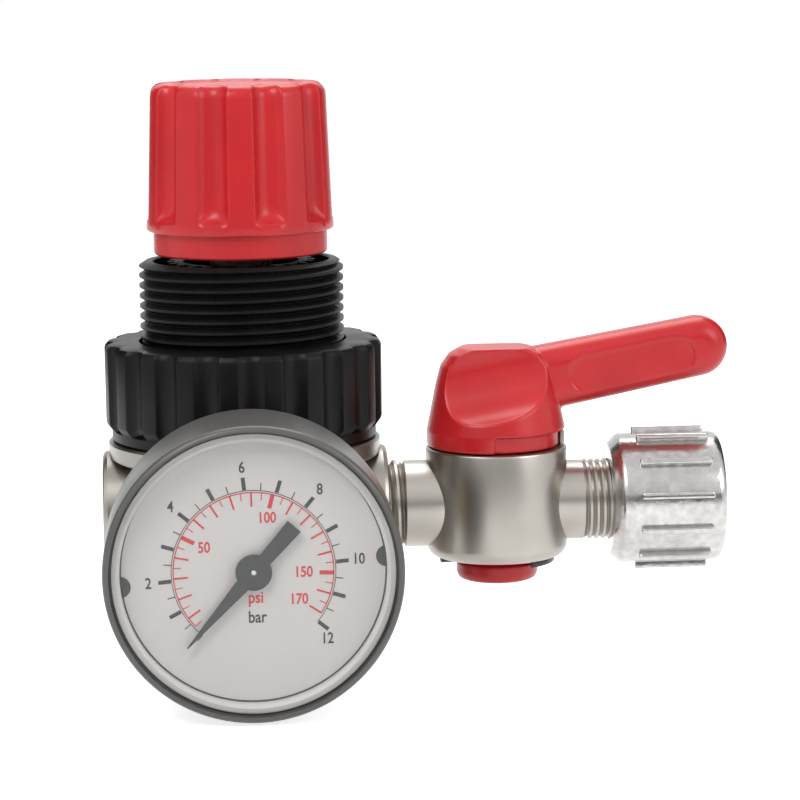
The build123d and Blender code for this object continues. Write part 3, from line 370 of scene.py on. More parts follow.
def principled(name, **sockets):
    """A new material whose Principled shader has these plain values, with its tree and that shader."""
    material = bpy.data.materials.new(name)
    material.use_nodes = True
    shader = material.node_tree.nodes["Principled BSDF"]
    for socket, value in sockets.items():
        shader.inputs[socket.replace("_", " ")].default_value = value
    return material, material.node_tree, shader


# %% The shared surface
def surface_group():
    """Colour and roughness that vary in soft clouds, and the height of a fine grain."""
    group = new_group(
        "Varied surface",
        [
            ("Colour", "NodeSocketColor", (0.5, 0.5, 0.5, 1)),
            ("Second colour", "NodeSocketColor", (0.4, 0.4, 0.4, 1)),
            ("Roughness", "NodeSocketFloat", 0.4),
            ("Roughness change", "NodeSocketFloat", 0.1),
            ("Cloud size", "NodeSocketFloat", 120.0),
            ("Grain size", "NodeSocketFloat", 3000.0),
        ],
        [
            ("Colour", "NodeSocketColor"),
            ("Roughness", "NodeSocketFloat"),
            ("Grain", "NodeSocketFloat"),
        ],
    )
    start = node(group, "NodeGroupInput", (-900, 0))
    end = node(group, "NodeGroupOutput", (500, 0))
    place = node(group, "ShaderNodeTexCoord", (-900, -300))
    clouds = node(group, "ShaderNodeTexNoise", (-600, -100))
    clouds.inputs["Detail"].default_value = 4
    grain = node(group, "ShaderNodeTexNoise", (-600, -400))
    grain.inputs["Detail"].default_value = 3
    spread = node(group, "ShaderNodeMapRange", (-350, -100))
    spread.inputs["From Min"].default_value = 0.3
    spread.inputs["From Max"].default_value = 0.7
    mix = node(group, "ShaderNodeMix", (-100, 100), data_type="RGBA")
    swing = node(group, "ShaderNodeMath", (-100, -150), operation="MULTIPLY_ADD")
    centred = node(group, "ShaderNodeMath", (-250, -250), operation="SUBTRACT")
    centred.inputs[1].default_value = 0.5
    wire(
        group,
        (place, "Object", clouds, "Vector"),
        (place, "Object", grain, "Vector"),
        (start, "Cloud size", clouds, "Scale"),
        (start, "Grain size", grain, "Scale"),
        (clouds, "Fac", spread, "Value"),
        (spread, "Result", mix, "Factor"),
        (start, "Colour", mix, "A"),
        (start, "Second colour", mix, "B"),
        (spread, "Result", centred, 0),
        (centred, "Value", swing, 0),
        (start, "Roughness change", swing, 1),
        (start, "Roughness", swing, 2),
        (mix, "Result", end, "Colour"),
        (swing, "Value", end, "Roughness"),
        (grain, "Fac", end, "Grain"),
    )
    return group


VARIED = surface_group()
print(VARIED.name, "nodes", len(VARIED.nodes))


# %% [markdown]
# ## One finish for each material
# The object has satin nickel, shiny cast zinc, black and red plastic, brass, steel, rubber and ink. Each
# could have its own tree of nodes. Since they differ only in colour, roughness and grain, one function builds
# them all: two close colours, a roughness that changes a little, and the strength of the grain.

# %% The finishes
GRAIN_HEIGHT = 0.05


def finish(name, colour, second, roughness, change, clouds, grain, bump, **sockets):
    """A Principled material fed by the shared group; other sockets are set to plain values."""
    material, tree, shader = principled(name, **sockets)
    varied = node(tree, "ShaderNodeGroup", (-600, 100), node_tree=VARIED)
    varied.inputs["Colour"].default_value = (*colour, 1)
    varied.inputs["Second colour"].default_value = (*second, 1)
    varied.inputs["Roughness"].default_value = roughness
    varied.inputs["Roughness change"].default_value = change
    varied.inputs["Cloud size"].default_value = clouds
    varied.inputs["Grain size"].default_value = grain
    relief = node(tree, "ShaderNodeBump", (-300, -200))
    relief.inputs["Strength"].default_value = bump
    relief.inputs["Distance"].default_value = GRAIN_HEIGHT * MM
    wire(
        tree,
        (varied, "Colour", shader, "Base Color"),
        (varied, "Roughness", shader, "Roughness"),
        (varied, "Grain", relief, "Height"),
        (relief, "Normal", shader, "Normal"),
    )
    return material


PLATED = {"change": 0.08, "clouds": 90, "grain": 1500, "bump": 0.1, "Metallic": 1.0}
TURNED = {"change": 0.1, "clouds": 120, "grain": 1800, "bump": 0.2}
PRINTED = {"change": 0.04, "clouds": 200, "grain": 2500, "bump": 0.0}
SHINY_RED = {"change": 0.08, "clouds": 110, "grain": 3500}
RED, DEEP_RED = (0.66, 0.022, 0.026), (0.54, 0.014, 0.02)

finishes = {
    "nickel_body": finish("Satin nickel", (0.36, 0.34, 0.31), (0.29, 0.275, 0.25), 0.33, **PLATED),
    "nickel_valve": finish("Valve nickel", (0.46, 0.435, 0.395), (0.37, 0.35, 0.32), 0.33, **PLATED),
    "zinc": finish(
        "Die-cast zinc", (0.58, 0.57, 0.56), (0.45, 0.44, 0.43), 0.2,
        change=0.14, clouds=800, grain=1600, bump=0.45, Metallic=0.92,
    ),
    "black_plastic": finish(
        "Black housing", (0.005, 0.005, 0.005), (0.009, 0.009, 0.009), 0.36,
        change=0.1, clouds=150, grain=4200, bump=0.5, Specular_IOR_Level=0.14,
    ),
    "red_knob": finish("Red knob", RED, DEEP_RED, 0.3, **SHINY_RED, bump=0.08, Specular_IOR_Level=0.4),
    "red_lever": finish("Red lever", RED, DEEP_RED, 0.3, **SHINY_RED, bump=0.1, Specular_IOR_Level=0.44),
    "case_black": finish(
        "Gauge case", (0.115, 0.113, 0.11), (0.085, 0.083, 0.08), 0.34,
        change=0.08, clouds=110, grain=2600, bump=0.1, Specular_IOR_Level=0.5,
    ),
    "dial": finish(
        "Dial plate", (0.62, 0.60, 0.585), (0.60, 0.58, 0.565), 0.5,
        change=0.04, clouds=60, grain=2500, bump=0.0,
    ),
    "pointer": finish("Pointer black", (0.02, 0.022, 0.022), (0.025, 0.027, 0.027), 0.4, **PRINTED),
    "brass": finish("Turned brass", (0.72, 0.50, 0.20), (0.62, 0.42, 0.16), 0.28, **TURNED, Metallic=1.0),
    "steel": finish("Turned steel", (0.52, 0.52, 0.53), (0.44, 0.44, 0.45), 0.3, **TURNED, Metallic=1.0),
    "spring_steel": finish(
        "Spring wire", (0.42, 0.42, 0.44), (0.34, 0.34, 0.36), 0.32, **TURNED, Metallic=1.0
    ),
    "black_steel": finish(
        "Blackened steel", (0.03, 0.03, 0.03), (0.05, 0.05, 0.05), 0.38, **TURNED, Metallic=0.6
    ),
    "red_print": finish("Red print", (0.62, 0.03, 0.035), (0.58, 0.03, 0.035), 0.5, **PRINTED),
    "rubber": finish(
        "Rubber", (0.02, 0.02, 0.02), (0.03, 0.03, 0.03), 0.7, change=0.1, clouds=150, grain=3000, bump=0.2
    ),
}
print("finishes", len(finishes))


# %% [markdown]
# ## Clear plastic
# The gauge's window is clear plastic over a pale dial. Real glass in Cycles casts a dark shadow, so the
# dial would turn grey. For shadow and diffuse rays the pane is therefore plain transparent, while the
# camera still sees its gloss and its edge.


# %% The window's finish
def window_finish():
    """Clear pane: glass that lets the lamps' light through to the dial."""
    material, tree, shader = principled(
        "Clear window", Base_Color=(1, 1, 1, 1), Roughness=0.02, IOR=1.3, Transmission_Weight=1.0
    )
    through = node(tree, "ShaderNodeBsdfTransparent", (0, -200))
    choice = node(tree, "ShaderNodeMixShader", (300, 0))
    path = node(tree, "ShaderNodeLightPath", (-200, 300))
    either = node(tree, "ShaderNodeMath", (0, 300), operation="MAXIMUM")
    wire(
        tree,
        (path, "Is Shadow Ray", either, 0),
        (path, "Is Diffuse Ray", either, 1),
        (either, "Value", choice, "Fac"),
        (shader, "BSDF", choice, 1),
        (through, "BSDF", choice, 2),
        (choice, "Shader", tree.nodes["Material Output"], "Surface"),
    )
    return material


finishes["window"] = window_finish()

# %% [markdown]
# ## Dressing the pieces
# Every CAD node gets its finish first, so nothing is left plain, also inside. A modelled piece then takes
# the place of its CAD node: it carries the same finish and rides on the same moving body.

# %% Give each piece its finish
for row in frame["record"]["subparts"]:
    part = frame["nodes"][row["node"]]
    part.data.materials.clear()
    part.data.materials.append(finishes[row["material_slot"]])


def dress(piece, slot, body, *nodes):
    """Gives a modelled piece its finish, its body and the CAD nodes that it stands for."""
    piece.data.materials.clear()
    piece.data.materials.append(finishes[slot])
    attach(piece, body)
    if nodes:
        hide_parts(*nodes)
    print(piece.name, "faces", len(piece.data.polygons))


# %% [markdown]
# ## Black bonnet with its panel thread
# The bonnet is moulded in black plastic. Its flange is clamped by the ring nut, its neck carries an
# M30 x 1.5 thread for a panel, and a splined collar in its cup locks the knob. It could be cut from a
# block step by step. A turned shell is the quickest start, and the thread is wound on it.

# %% Bonnet
NECK_ROOT_R, NECK_CREST_R, NECK_PITCH = 14.08, 15.0, 1.5
SHANK_R, FLANGE_R = 14.7, 18.2
CHAMBER_R, CUP_R, SCREW_HOLE_R = 11.0, 12.95, 4.75
COLLAR_IN_R, COLLAR_OUT_R = 8.5, 9.8
bonnet_low, bonnet_top = 16.2, 37.2
flange_top, thread_low, thread_fade = 21.0, 25.36, 36.57
web_low, cup_floor, collar_top = 33.0, 34.6, 37.0
bonnet = turned_ring(
    "black_bonnet",
    [
        (CHAMBER_R, bonnet_low),
        (FLANGE_R, bonnet_low),
        (FLANGE_R, flange_top),
        (SHANK_R, flange_top),
        (SHANK_R, thread_low),
        (NECK_ROOT_R, thread_low),
        (NECK_ROOT_R, bonnet_top - 0.3),
        (NECK_ROOT_R - 0.3, bonnet_top),
        (CUP_R + 0.2, bonnet_top),
        (CUP_R, bonnet_top - 0.2),
        (CUP_R, cup_floor),
        (COLLAR_OUT_R, cup_floor),
        (COLLAR_OUT_R, collar_top),
        (COLLAR_IN_R, collar_top),
        (COLLAR_IN_R, cup_floor),
        (SCREW_HOLE_R, cup_floor),
        (SCREW_HOLE_R, web_low),
        (CHAMBER_R, web_low),
        (CHAMBER_R, bonnet_low),
    ],
    144,
)
SPLINES, SPLINE_HEIGHT = 24, 2.4
lock_spline = block(
    "spline", (1.3, 1.25, SPLINE_HEIGHT), (COLLAR_OUT_R + 0.35, 0, cup_floor + SPLINE_HEIGHT / 2)
)
combine(bonnet, ring_of(lock_spline, SPLINES))
bonnet_thread = thread(
    "panel_thread",
    NECK_ROOT_R,
    NECK_CREST_R,
    NECK_PITCH,
    [(NECK_CREST_R, thread_low + 0.02), (NECK_CREST_R, thread_fade), (NECK_ROOT_R, bonnet_top - 0.05)],
    thread_low,
    bonnet_top,
    steps=120,
)
combine(bonnet, bonnet_thread)
smooth(bonnet, 32)
on_tower(bonnet)
dress(bonnet, "black_plastic", "regulator", "bonnet")

# %% [markdown]
# ## Fluted pieces
# The knob and the ring nut have grip flutes. Flutes cut out of a finished solid end in a sharp step. Here
# a thin disc gets round notches cut out of its rim, the sharp corners are bevelled, and the notched face
# is pulled along the axis, so every level keeps the flutes, or loses them softly.


# %% Notched face
def notched_face(name, radius, height, count, notch_r, depth, first, corner, sides):
    """One face with round notches in its rim, at this height on the Z axis."""
    clear_selection()
    bpy.ops.mesh.primitive_cylinder_add(
        vertices=sides, radius=radius * MM, depth=1 * MM, location=(0, 0, (height + 0.5) * MM)
    )
    piece = bpy.context.active_object
    piece.name = name
    bpy.ops.object.transform_apply(location=True)
    notch = disc("notch", notch_r, height - 1, height + 2, 56)
    lay(notch, (radius + notch_r - depth, 0, 0))
    combine(piece, ring_of(notch, count, first), "DIFFERENCE")
    bpy.ops.object.mode_set(mode="EDIT")
    choose_edges(piece, lambda a, b, angle: abs(a.z - b.z) > 0.5 and angle > math.radians(20))
    bpy.ops.mesh.bevel(offset=corner * MM, segments=3)
    choose_faces(piece, lambda centre, normal: normal.z > -0.9)
    bpy.ops.mesh.delete(type="FACE")
    bpy.ops.mesh.select_all(action="SELECT")
    return piece


def choose_level(piece, height):
    """In edit mode, selects the flat face at this height."""
    choose_faces(piece, lambda centre, normal: abs(normal.z) > 0.9 and abs(centre.z - height) < 0.01)


# %% [markdown]
# ## Ring nut
# A black nut with twenty shallow flutes screws the bonnet down on the body. Its foot is round, so the
# lowest loops are rounded off before they go inside. The notched face is pulled up and over to the bore,
# then the same face is chosen again and pulled down and in, until both walls meet and are welded.

# %% Ring nut
RING_NUT_R, RING_NUT_FLUTES = 20.44, 20
RIM_R, FOOT_R = 19.5, 19.5
NECK_HOLE_R, NUT_BORE_R = 15.3, 18.5
nut_low, nut_foot, nut_top = 11.0, 12.5, 25.36
nut_cut, walls_meet = 13.9, 14.0
ring_nut = notched_face(
    "black_ring_nut", RING_NUT_R, nut_cut, RING_NUT_FLUTES,
    notch_r=2.6, depth=0.9, first=-88, corner=0.28, sides=240,
)
pull(
    ring_nut,
    nut_cut,
    [
        (RING_NUT_R, nut_top - 1.0),
        (20.3, nut_top - 0.55),
        (19.95, nut_top - 0.15),
        (RIM_R, nut_top),
        (17.5, nut_top, 1.0),
        (NECK_HOLE_R, nut_top),
        (NECK_HOLE_R, flange_top),
        (NUT_BORE_R, flange_top),
        (NUT_BORE_R, walls_meet),
    ],
)
choose_level(ring_nut, nut_cut)
pull(
    ring_nut,
    nut_cut,
    [
        (20.3, 13.5),
        (19.75, 12.75),
        (FOOT_R, nut_foot, 1.0),
        (FOOT_R, nut_low + 0.2),
        (FOOT_R - 0.2, nut_low),
        (NUT_BORE_R, nut_low),
        (NUT_BORE_R, walls_meet),
    ],
)
choose_faces(ring_nut, lambda centre, normal: centre.xy.length < 1 and abs(centre.z - walls_meet) < 0.01)
bpy.ops.mesh.delete(type="ONLY_FACE")
weld(0.02)
face_outwards()
smooth(ring_nut, 28)
on_tower(ring_nut)
dress(ring_nut, "black_plastic", "regulator", "ring_nut")

# %% [markdown]
# ## Red knob
# The knob is a thin-walled cup. Ten flutes start above its shoulder with a rounded end and run out over
# the crown. Inside are a hexagon hub that drives the screw, six ribs, and the teeth that lock it. The cup
# is pulled from a notched face like the ring nut. What is inside is plain and straight, so it is made of
# discs and blocks and united with the cup.

# %% Knob's cup
KNOB_FOOT_R, KNOB_CROWN_R = 13.72, 12.98
SKIRT_R, SKIRT_BORE_R = 12.73, 11.18
knob_low, knob_shoulder, crown_low, knob_top = 38.2, 41.65, 61.5, 63.1
KNOB_TAPER = (KNOB_FOOT_R - KNOB_CROWN_R) / (crown_low - knob_shoulder)


def knob_radius(height):
    return KNOB_FOOT_R - KNOB_TAPER * (height - knob_shoulder)


flute_level = 46.0
knob = notched_face(
    "red_knob", knob_radius(flute_level), flute_level, 10,
    notch_r=2.6, depth=1.6, first=18 - 90, corner=0.3, sides=200,
)
pull(
    knob,
    flute_level,
    [
        (knob_radius(61.3), 61.3),
        (12.9, 61.9),
        (12.6, 62.45),
        (12.15, 62.85),
        (11.6, 63.05),
        (11.0, knob_top, 0.15),
        (10.5, knob_top, 0.6),
        (10.0, knob_top - 0.02, 1.0),
        (9.6, knob_top - 0.25),
        (9.2, knob_top - 0.3),
    ],
)
flute_ends = [(45.2, 0.03), (44.5, 0.12), (44.0, 0.25), (43.6, 0.45), (43.3, 0.7), (43.1, 1.0)]
choose_level(knob, flute_level)
pull(
    knob,
    flute_level,
    [(knob_radius(level), level, roundness) for level, roundness in flute_ends]
    + [
        (KNOB_FOOT_R, knob_shoulder + 0.35),
        (KNOB_FOOT_R - 0.1, knob_shoulder + 0.08),
        (13.45, knob_shoulder),
        (12.8, knob_shoulder),
        (SKIRT_R, knob_shoulder - 0.08),
        (SKIRT_R, knob_low + 0.25),
        (12.5, knob_low),
        (11.3, knob_low),
        (SKIRT_BORE_R, knob_low + 0.12),
        (SKIRT_BORE_R, knob_shoulder),
        (10.38, 60.6),
    ],
)
face_outwards()

# %% Knob's inside
HUB_R, HEXAGON_R, TOOTH_HEIGHT = 6.2, 4.05 / math.cos(math.radians(30)), 3.0
hub = disc("hub", HUB_R, knob_low + 1.2, 61.0)
combine(hub, disc("hexagon", HEXAGON_R, knob_low, 60.5, 6), "DIFFERENCE")
rib = block("rib", (5.6, 1.6, 16.0), (8.5, 0, 53.05))
lock_tooth = block("lock_tooth", (1.5, 1.2, TOOTH_HEIGHT), (10.75, 0, knob_low + TOOTH_HEIGHT / 2))
combine(knob, hub)
combine(knob, ring_of(rib, 6))
combine(knob, ring_of(lock_tooth, SPLINES, 180 / SPLINES))
smooth(knob, 32)
on_tower(knob)
dress(knob, "red_knob", "knob", "adjusting_knob")

# %% [markdown]
# ## Gauge case
# A black cup with a domed back and a stepped rim. The rim's steps, the glossy bezel inside them and the
# recess for the window make the rings that surround the dial. Solidify could give it a wall, but this wall
# isn't even, so one turned outline goes round the outside, over the rim and back along the inside.

# %% Gauge case
CASE_R, CASE_IN_R = 20.33, 19.0
BACK_EDGE, RIM_EDGE = 5.5, 0.9  # how far the back and the rim are rounded
BEZEL_R, WINDOW_SEAT_R, DIAL_SEAT_R, SOCKET_HOLE_R = 19.5, 18.4, 17.5, 6.06
case_back, case_floor, wall_low = 27.0, 28.2, 32.5
bezel_floor, dial_seat, case_front = 45.6, 43.5, 47.45
case_stations = [(SOCKET_HOLE_R, case_back), (15.9, case_back)]
case_stations += quarter(CASE_R - BACK_EDGE, wall_low, BACK_EDGE, -78, -8, 8)
case_stations += [(CASE_R, wall_low), (CASE_R, 46.3)]
case_stations += quarter(CASE_R - RIM_EDGE, 46.6, RIM_EDGE, 15, 88, 5)
case_stations += [
    (BEZEL_R, case_front),
    (BEZEL_R, bezel_floor),
    (WINDOW_SEAT_R, bezel_floor),
    (WINDOW_SEAT_R, dial_seat),
    (DIAL_SEAT_R, dial_seat),
    (DIAL_SEAT_R, dial_seat - 1.0),
    (CASE_IN_R, 41.0),
    (CASE_IN_R, wall_low),
    (15.8, case_floor),
    (SOCKET_HOLE_R, case_floor),
    (SOCKET_HOLE_R, case_back),
]
case = turned_ring("gauge_cup", case_stations, 160)
smooth(case, 32)
on_gauge(case)
dress(case, "case_black", "regulator", "gauge_case")

# %% [markdown]
# ## Dial print
# The dial carries a black scale in bar and a red one in psi. A picture of the print would blur close up.
# Each mark is a thin raised patch of ink instead, so it stays sharp from any distance. The whole dial sits
# a few degrees past upright, as on the real gauge, and only the words are turned back.

# %% Marks and numerals
DIAL_FACE = 44.0
INK = 0.04
DIAL_ROLL = 5.4
BAR_START, BAR_SWEEP, BAR_MOST = 225.0, -270.0, 12.0
PSI_PER_BAR = 14.5038
LETTER_NARROWING, LETTER_WEIGHT = 0.82, 0.035


def dial_angle(bar):
    return BAR_START + BAR_SWEEP * bar / BAR_MOST


def mark(angle, inner, outer, width):
    """A short radial stroke of ink."""
    stroke = block("stroke", (outer - inner, width, INK), ((inner + outer) / 2, 0, DIAL_FACE + INK / 2))
    return lay(stroke, turn=(0, 0, angle))


def words(text, size, place):
    """Print that stands upright on the turned dial, centred on its place and made a mesh."""
    clear_selection()
    bpy.ops.object.text_add(location=(0, 0, 0))
    print_object = bpy.context.active_object
    print_object.data.body = text
    print_object.data.align_x = "CENTER"
    print_object.data.align_y = "CENTER"
    print_object.data.size = size * MM
    print_object.data.extrude = INK / 2 * MM
    print_object.data.offset = LETTER_WEIGHT * MM
    print_object.data.resolution_u = 4
    bpy.ops.object.convert(target="MESH")
    print_object.scale = (LETTER_NARROWING, 1, 1)
    lay(print_object, turn=(0, 0, -DIAL_ROLL))
    return lay(print_object, place=(*place, DIAL_FACE + INK / 2))


def numeral(number, size, bar, radius):
    """A numeral centred at this radius, in the direction where the scale shows this many bar."""
    turn = math.radians(dial_angle(bar))
    return words(str(number), size, (radius * math.cos(turn), radius * math.sin(turn)))


def arc_line(radius, width, start, end):
    """A thin printed arc: a stroke's end face is spun round the dial's centre."""
    clear_selection()
    bpy.ops.mesh.primitive_plane_add(size=1)
    line = bpy.context.active_object
    line.scale = (width * MM, INK * MM, 1)
    line.rotation_euler = (math.pi / 2, 0, 0)
    line.location = (radius * MM, 0, (DIAL_FACE + INK / 2) * MM)
    bpy.ops.object.transform_apply(location=True, rotation=True, scale=True)
    lay(line, turn=(0, 0, start))
    bpy.ops.object.mode_set(mode="EDIT")
    bpy.ops.mesh.select_all(action="SELECT")
    bpy.ops.mesh.spin(steps=120, angle=math.radians(start - end), center=(0, 0, 0), axis=(0, 0, 1))
    face_outwards()
    return line


# %% Black scale in bar
BAR_LINE_R, BAR_NUMERAL_R = 11.05, 14.2
black_print = [arc_line(BAR_LINE_R, 0.09, dial_angle(BAR_MOST), dial_angle(0))]
for half in range(25):
    if half % 2 == 0 and half > 0:
        black_print.append(mark(dial_angle(half / 2), 11.15, 12.85, 0.52))
    else:
        black_print.append(mark(dial_angle(half / 2), BAR_LINE_R, 12.1, 0.13))
for bar in (2, 4, 6, 8, 10):
    black_print.append(numeral(bar, 2.1, bar, BAR_NUMERAL_R))
black_print.append(numeral(12, 2.1, 12.2, 13.6))
black_print.append(words("bar", 2.3, (-0.2, -6.3)))

# %% Red scale in psi
red_print = [arc_line(10.77, 0.14, dial_angle(170 / PSI_PER_BAR), dial_angle(0.35))]
for psi in range(5, 175, 5):
    if psi % 10:
        inner, width = 9.75, 0.12
    else:
        inner, width = 8.85, 0.24 if psi % 50 else 0.55
    red_print.append(mark(dial_angle(psi / PSI_PER_BAR), inner, 10.75, width))
for psi, radius in ((50, 7.4), (100, 7.5), (150, 6.7), (170, 7.2)):
    red_print.append(numeral(psi, 2.05, psi / PSI_PER_BAR, radius))
red_print.append(words("psi", 2.3, (-0.1, -3.6)))

# %% Print on the dial
for marks, name, slot in (
    (black_print, "black_dial_print", "pointer"),
    (red_print, "red_dial_print", "dial"),
):
    print_piece = join(marks, name)
    lay(print_piece, turn=(0, 0, DIAL_ROLL))
    on_gauge(print_piece)
    dress(print_piece, slot, "regulator")
    if slot == "dial":
        print_piece.data.materials[0] = finishes["red_print"]

# %% [markdown]
# ## Rings round the dial
# Between the dial and the rim, the clear window stands on a skirt, and a gap separates it from the dial. The
# skirt gets the pale dial finish, painted light that stands for the light seen in the real clear skirt, and a
# black ring is painted shade for the dark line of the gap. Two half-round notches show where the dial's tabs
# are. They could be printed on the dial, but as small turned rings they also catch the lamps' light.

# %% Window skirt, pale with painted light
SKIRT_IN_R, SKIRT_OUT_R = 17.95, 18.35
skirt_low, skirt_lip = 44.05, 45.65
skirt = turned_ring(
    "window_skirt_painted_light",
    [
        (SKIRT_IN_R, skirt_low),
        (SKIRT_OUT_R, skirt_low),
        (SKIRT_OUT_R, skirt_lip),
        (19.1, skirt_lip),
        (19.0, 46.05),
        (18.4, 46.15),
        (SKIRT_IN_R, 45.7),
        (SKIRT_IN_R, skirt_low),
    ],
    160,
)
on_gauge(skirt)
# The skirt's pale dial finish is painted light: the light seen in the real clear skirt.
dress(skirt, "dial", "regulator")

# %% Painted shade in the gap, and notches
GAP_IN_R, GAP_OUT_R = 17.72, SKIRT_IN_R - 0.02
TAB_R, TAB_PLACE = 1.45, 18.0
gap_ring = turned_ring(
    "gap_painted_shade_and_notches",
    [
        (GAP_IN_R, DIAL_FACE),
        (GAP_OUT_R, DIAL_FACE),
        (GAP_OUT_R, DIAL_FACE + 0.2),
        (GAP_IN_R + 0.1, DIAL_FACE + 0.15),
        (GAP_IN_R, DIAL_FACE),
    ],
    160,
)
for side in (0, 180):
    tab = disc("tab", TAB_R, DIAL_FACE, DIAL_FACE + 0.05, 32)
    lay(tab, (TAB_PLACE, 0, 0))
    lay(tab, turn=(0, 0, side + DIAL_ROLL))
    gap_ring = join([gap_ring, tab], "gap_painted_shade_and_notches")
on_gauge(gap_ring)
# Black on this ring is painted shade: the dark line of the gap between the skirt and the dial.
dress(gap_ring, "pointer", "regulator")

# %% [markdown]
# ## Pointer
# The pointer is stamped from sheet: a blade that tapers to the scale, a hub, and a tail that widens to a
# square end and balances the blade. Its outline could be drawn as a curve. Two blocks whose ends are made
# narrower or wider, with a disc as the hub, are quicker. The bright end of the shaft shows in the hub.

# %% Pointer
POINTER_LOW, POINTER_HIGH = 44.6, 44.95
BLADE_LENGTH, BLADE_ROOT_W, BLADE_TIP_W = 13.65, 2.3, 0.16
TAIL_LENGTH, TAIL_ROOT_W, TAIL_END_W = 8.3, 1.7, 2.3
HUB_DISC_R = 2.45
POINTER_REST = 222.7  # from the dial's own right-hand side


def arm(length, root_w, end_w):
    """A flat arm along X from the hub's centre, root_w wide there and end_w wide at its end."""
    size = (length, root_w, POINTER_HIGH - POINTER_LOW)
    piece = block("arm", size, (length / 2, 0, (POINTER_LOW + POINTER_HIGH) / 2))
    bpy.ops.object.mode_set(mode="EDIT")
    choose_faces(piece, lambda centre, normal: normal.x > 0.9)
    bpy.ops.transform.resize(value=(1, end_w / root_w, 1))
    bpy.ops.object.mode_set(mode="OBJECT")
    return piece


pointer = arm(BLADE_LENGTH, BLADE_ROOT_W, BLADE_TIP_W)
combine(pointer, lay(arm(TAIL_LENGTH, TAIL_ROOT_W, TAIL_END_W), turn=(0, 0, 180)))
combine(pointer, disc("hub", HUB_DISC_R, POINTER_LOW - 0.01, POINTER_HIGH + 0.01))
pointer.name = "stamped_pointer"
smooth(pointer, 30)
lay(pointer, turn=(0, 0, POINTER_REST + DIAL_ROLL))
on_gauge(pointer)
dress(pointer, "pointer", "pointer", "gauge_pointer")
shaft_end = turned("shaft_end", [(0.36, 44.8), (0.36, 45.05), (0.26, 45.15)], 32)
on_gauge(shaft_end)
dress(shaft_end, "steel", "pointer")

# %% [markdown]
# ## Clear window
# The window is a clear disc whose front edge slopes to the rim. Its slope catches the lamps as a fine
# bright ring. A bevel would give one even slope, and this one flattens towards the middle, so it is turned
# through its own stations.

# %% Window
WINDOW_R = 19.1
window = turned(
    "clear_window",
    [(WINDOW_R, 46.2), (WINDOW_R, 46.5), (18.9, 46.65), (18.2, 46.85), (17.9, 46.9)],
    160,
)
smooth(window, 20)
on_gauge(window)
dress(window, "window", "regulator", "gauge_window")

# %% [markdown]
# ## Valve housing
# The shut-off valve is a nickel-plated barrel with a threaded stub at each side. The inlet stub has a
# G1/4 thread and the outlet stub M12 x 1, with a spigot for the hose. No single outline can hold both
# axes, so the barrel and the stubs are turned apart and united, the bores are cut, and a thread is wound
# on each stub.

# %% Barrel, stubs and bores
BARREL_R, BARREL_EDGE = 10.53, 2.0
barrel_low, barrel_top = -8.0, 8.5
barrel = turned(
    "valve_housing_plated",
    [(8.4, barrel_low)]
    + quarter(BARREL_R - BARREL_EDGE, barrel_low + BARREL_EDGE, BARREL_EDGE, -85, 0, 7)
    + [(BARREL_R, 8.1), (BARREL_R - 0.1, 8.35), (BARREL_R - 0.35, barrel_top)],
    144,
)
INLET_ROOT_R, INLET_CREST_R, INLET_PITCH = 5.75, 6.55, 1.337
OUTLET_ROOT_R, OUTLET_CREST_R, OUTLET_PITCH = 5.58, 5.98, 1.0
INLET_COLLAR_R, OUTLET_COLLAR_R, SPIGOT_R = 6.45, 5.92, 3.25
stubs = turned(
    "stubs",
    [
        (5.3, 33.0),
        (INLET_ROOT_R, 33.6),
        (INLET_ROOT_R, 44.3),
        (INLET_COLLAR_R, 44.6),
        (INLET_COLLAR_R, 58.0),
        (OUTLET_COLLAR_R, 58.4),
        (OUTLET_COLLAR_R, 71.2),
        (OUTLET_ROOT_R, 71.4),
        (OUTLET_ROOT_R, 81.2),
        (5.1, 81.5),
        (SPIGOT_R, 81.5),
        (SPIGOT_R, 90.0),
        (2.8, 90.5),
    ],
    96,
)
lay(stubs, turn=ALONG_FLOW)
on_valve(barrel)
combine(barrel, stubs)
for name, bore_r, start, end, sides in (
    ("flow_bore", 3.5, 32.0, 73.0, 48),
    ("spigot_bore", 2.0, 72.0, 92.0, 40),
):
    bore = disc(name, bore_r, start, end, sides)
    combine(barrel, lay(bore, turn=ALONG_FLOW), "DIFFERENCE")
PLUG_BORE_R = 6.42
combine(barrel, on_valve(disc("plug_bore", PLUG_BORE_R, -9.0, 9.5, 72)), "DIFFERENCE")

# %% Stub threads and lever stop
inlet_thread = thread(
    "inlet_thread",
    INLET_ROOT_R,
    INLET_CREST_R,
    INLET_PITCH,
    [(INLET_ROOT_R, 33.1), (INLET_CREST_R, 33.9), (INLET_CREST_R, 43.9), (5.8, 44.4)],
    33.1,
    44.4,
)
combine(barrel, lay(inlet_thread, turn=ALONG_FLOW))
outlet_thread = thread(
    "outlet_thread",
    OUTLET_ROOT_R,
    OUTLET_CREST_R,
    OUTLET_PITCH,
    [(OUTLET_ROOT_R, 71.3), (OUTLET_CREST_R, 71.6), (OUTLET_CREST_R, 80.9), (5.5, 81.4)],
    71.3,
    81.4,
)
combine(barrel, lay(outlet_thread, turn=ALONG_FLOW))
stop = block("stop", (0.7, 2.2, 2.3), (9.8, 0, barrel_top + 0.95))
soften(stop, 0.12)
combine(barrel, on_valve(stop))
smooth(barrel, 30)
dress(barrel, "nickel_valve", "regulator", "valve_housing")

# %% [markdown]
# ## Retaining clip
# A spring clip in the plug's groove holds the lever in the housing. It is a flat ring with a wide mouth,
# and the mouth faces the front, so only one end of the clip peeks out beside the red button. A ring that
# is cut open by a block has crisp ends, as a stamped clip has.

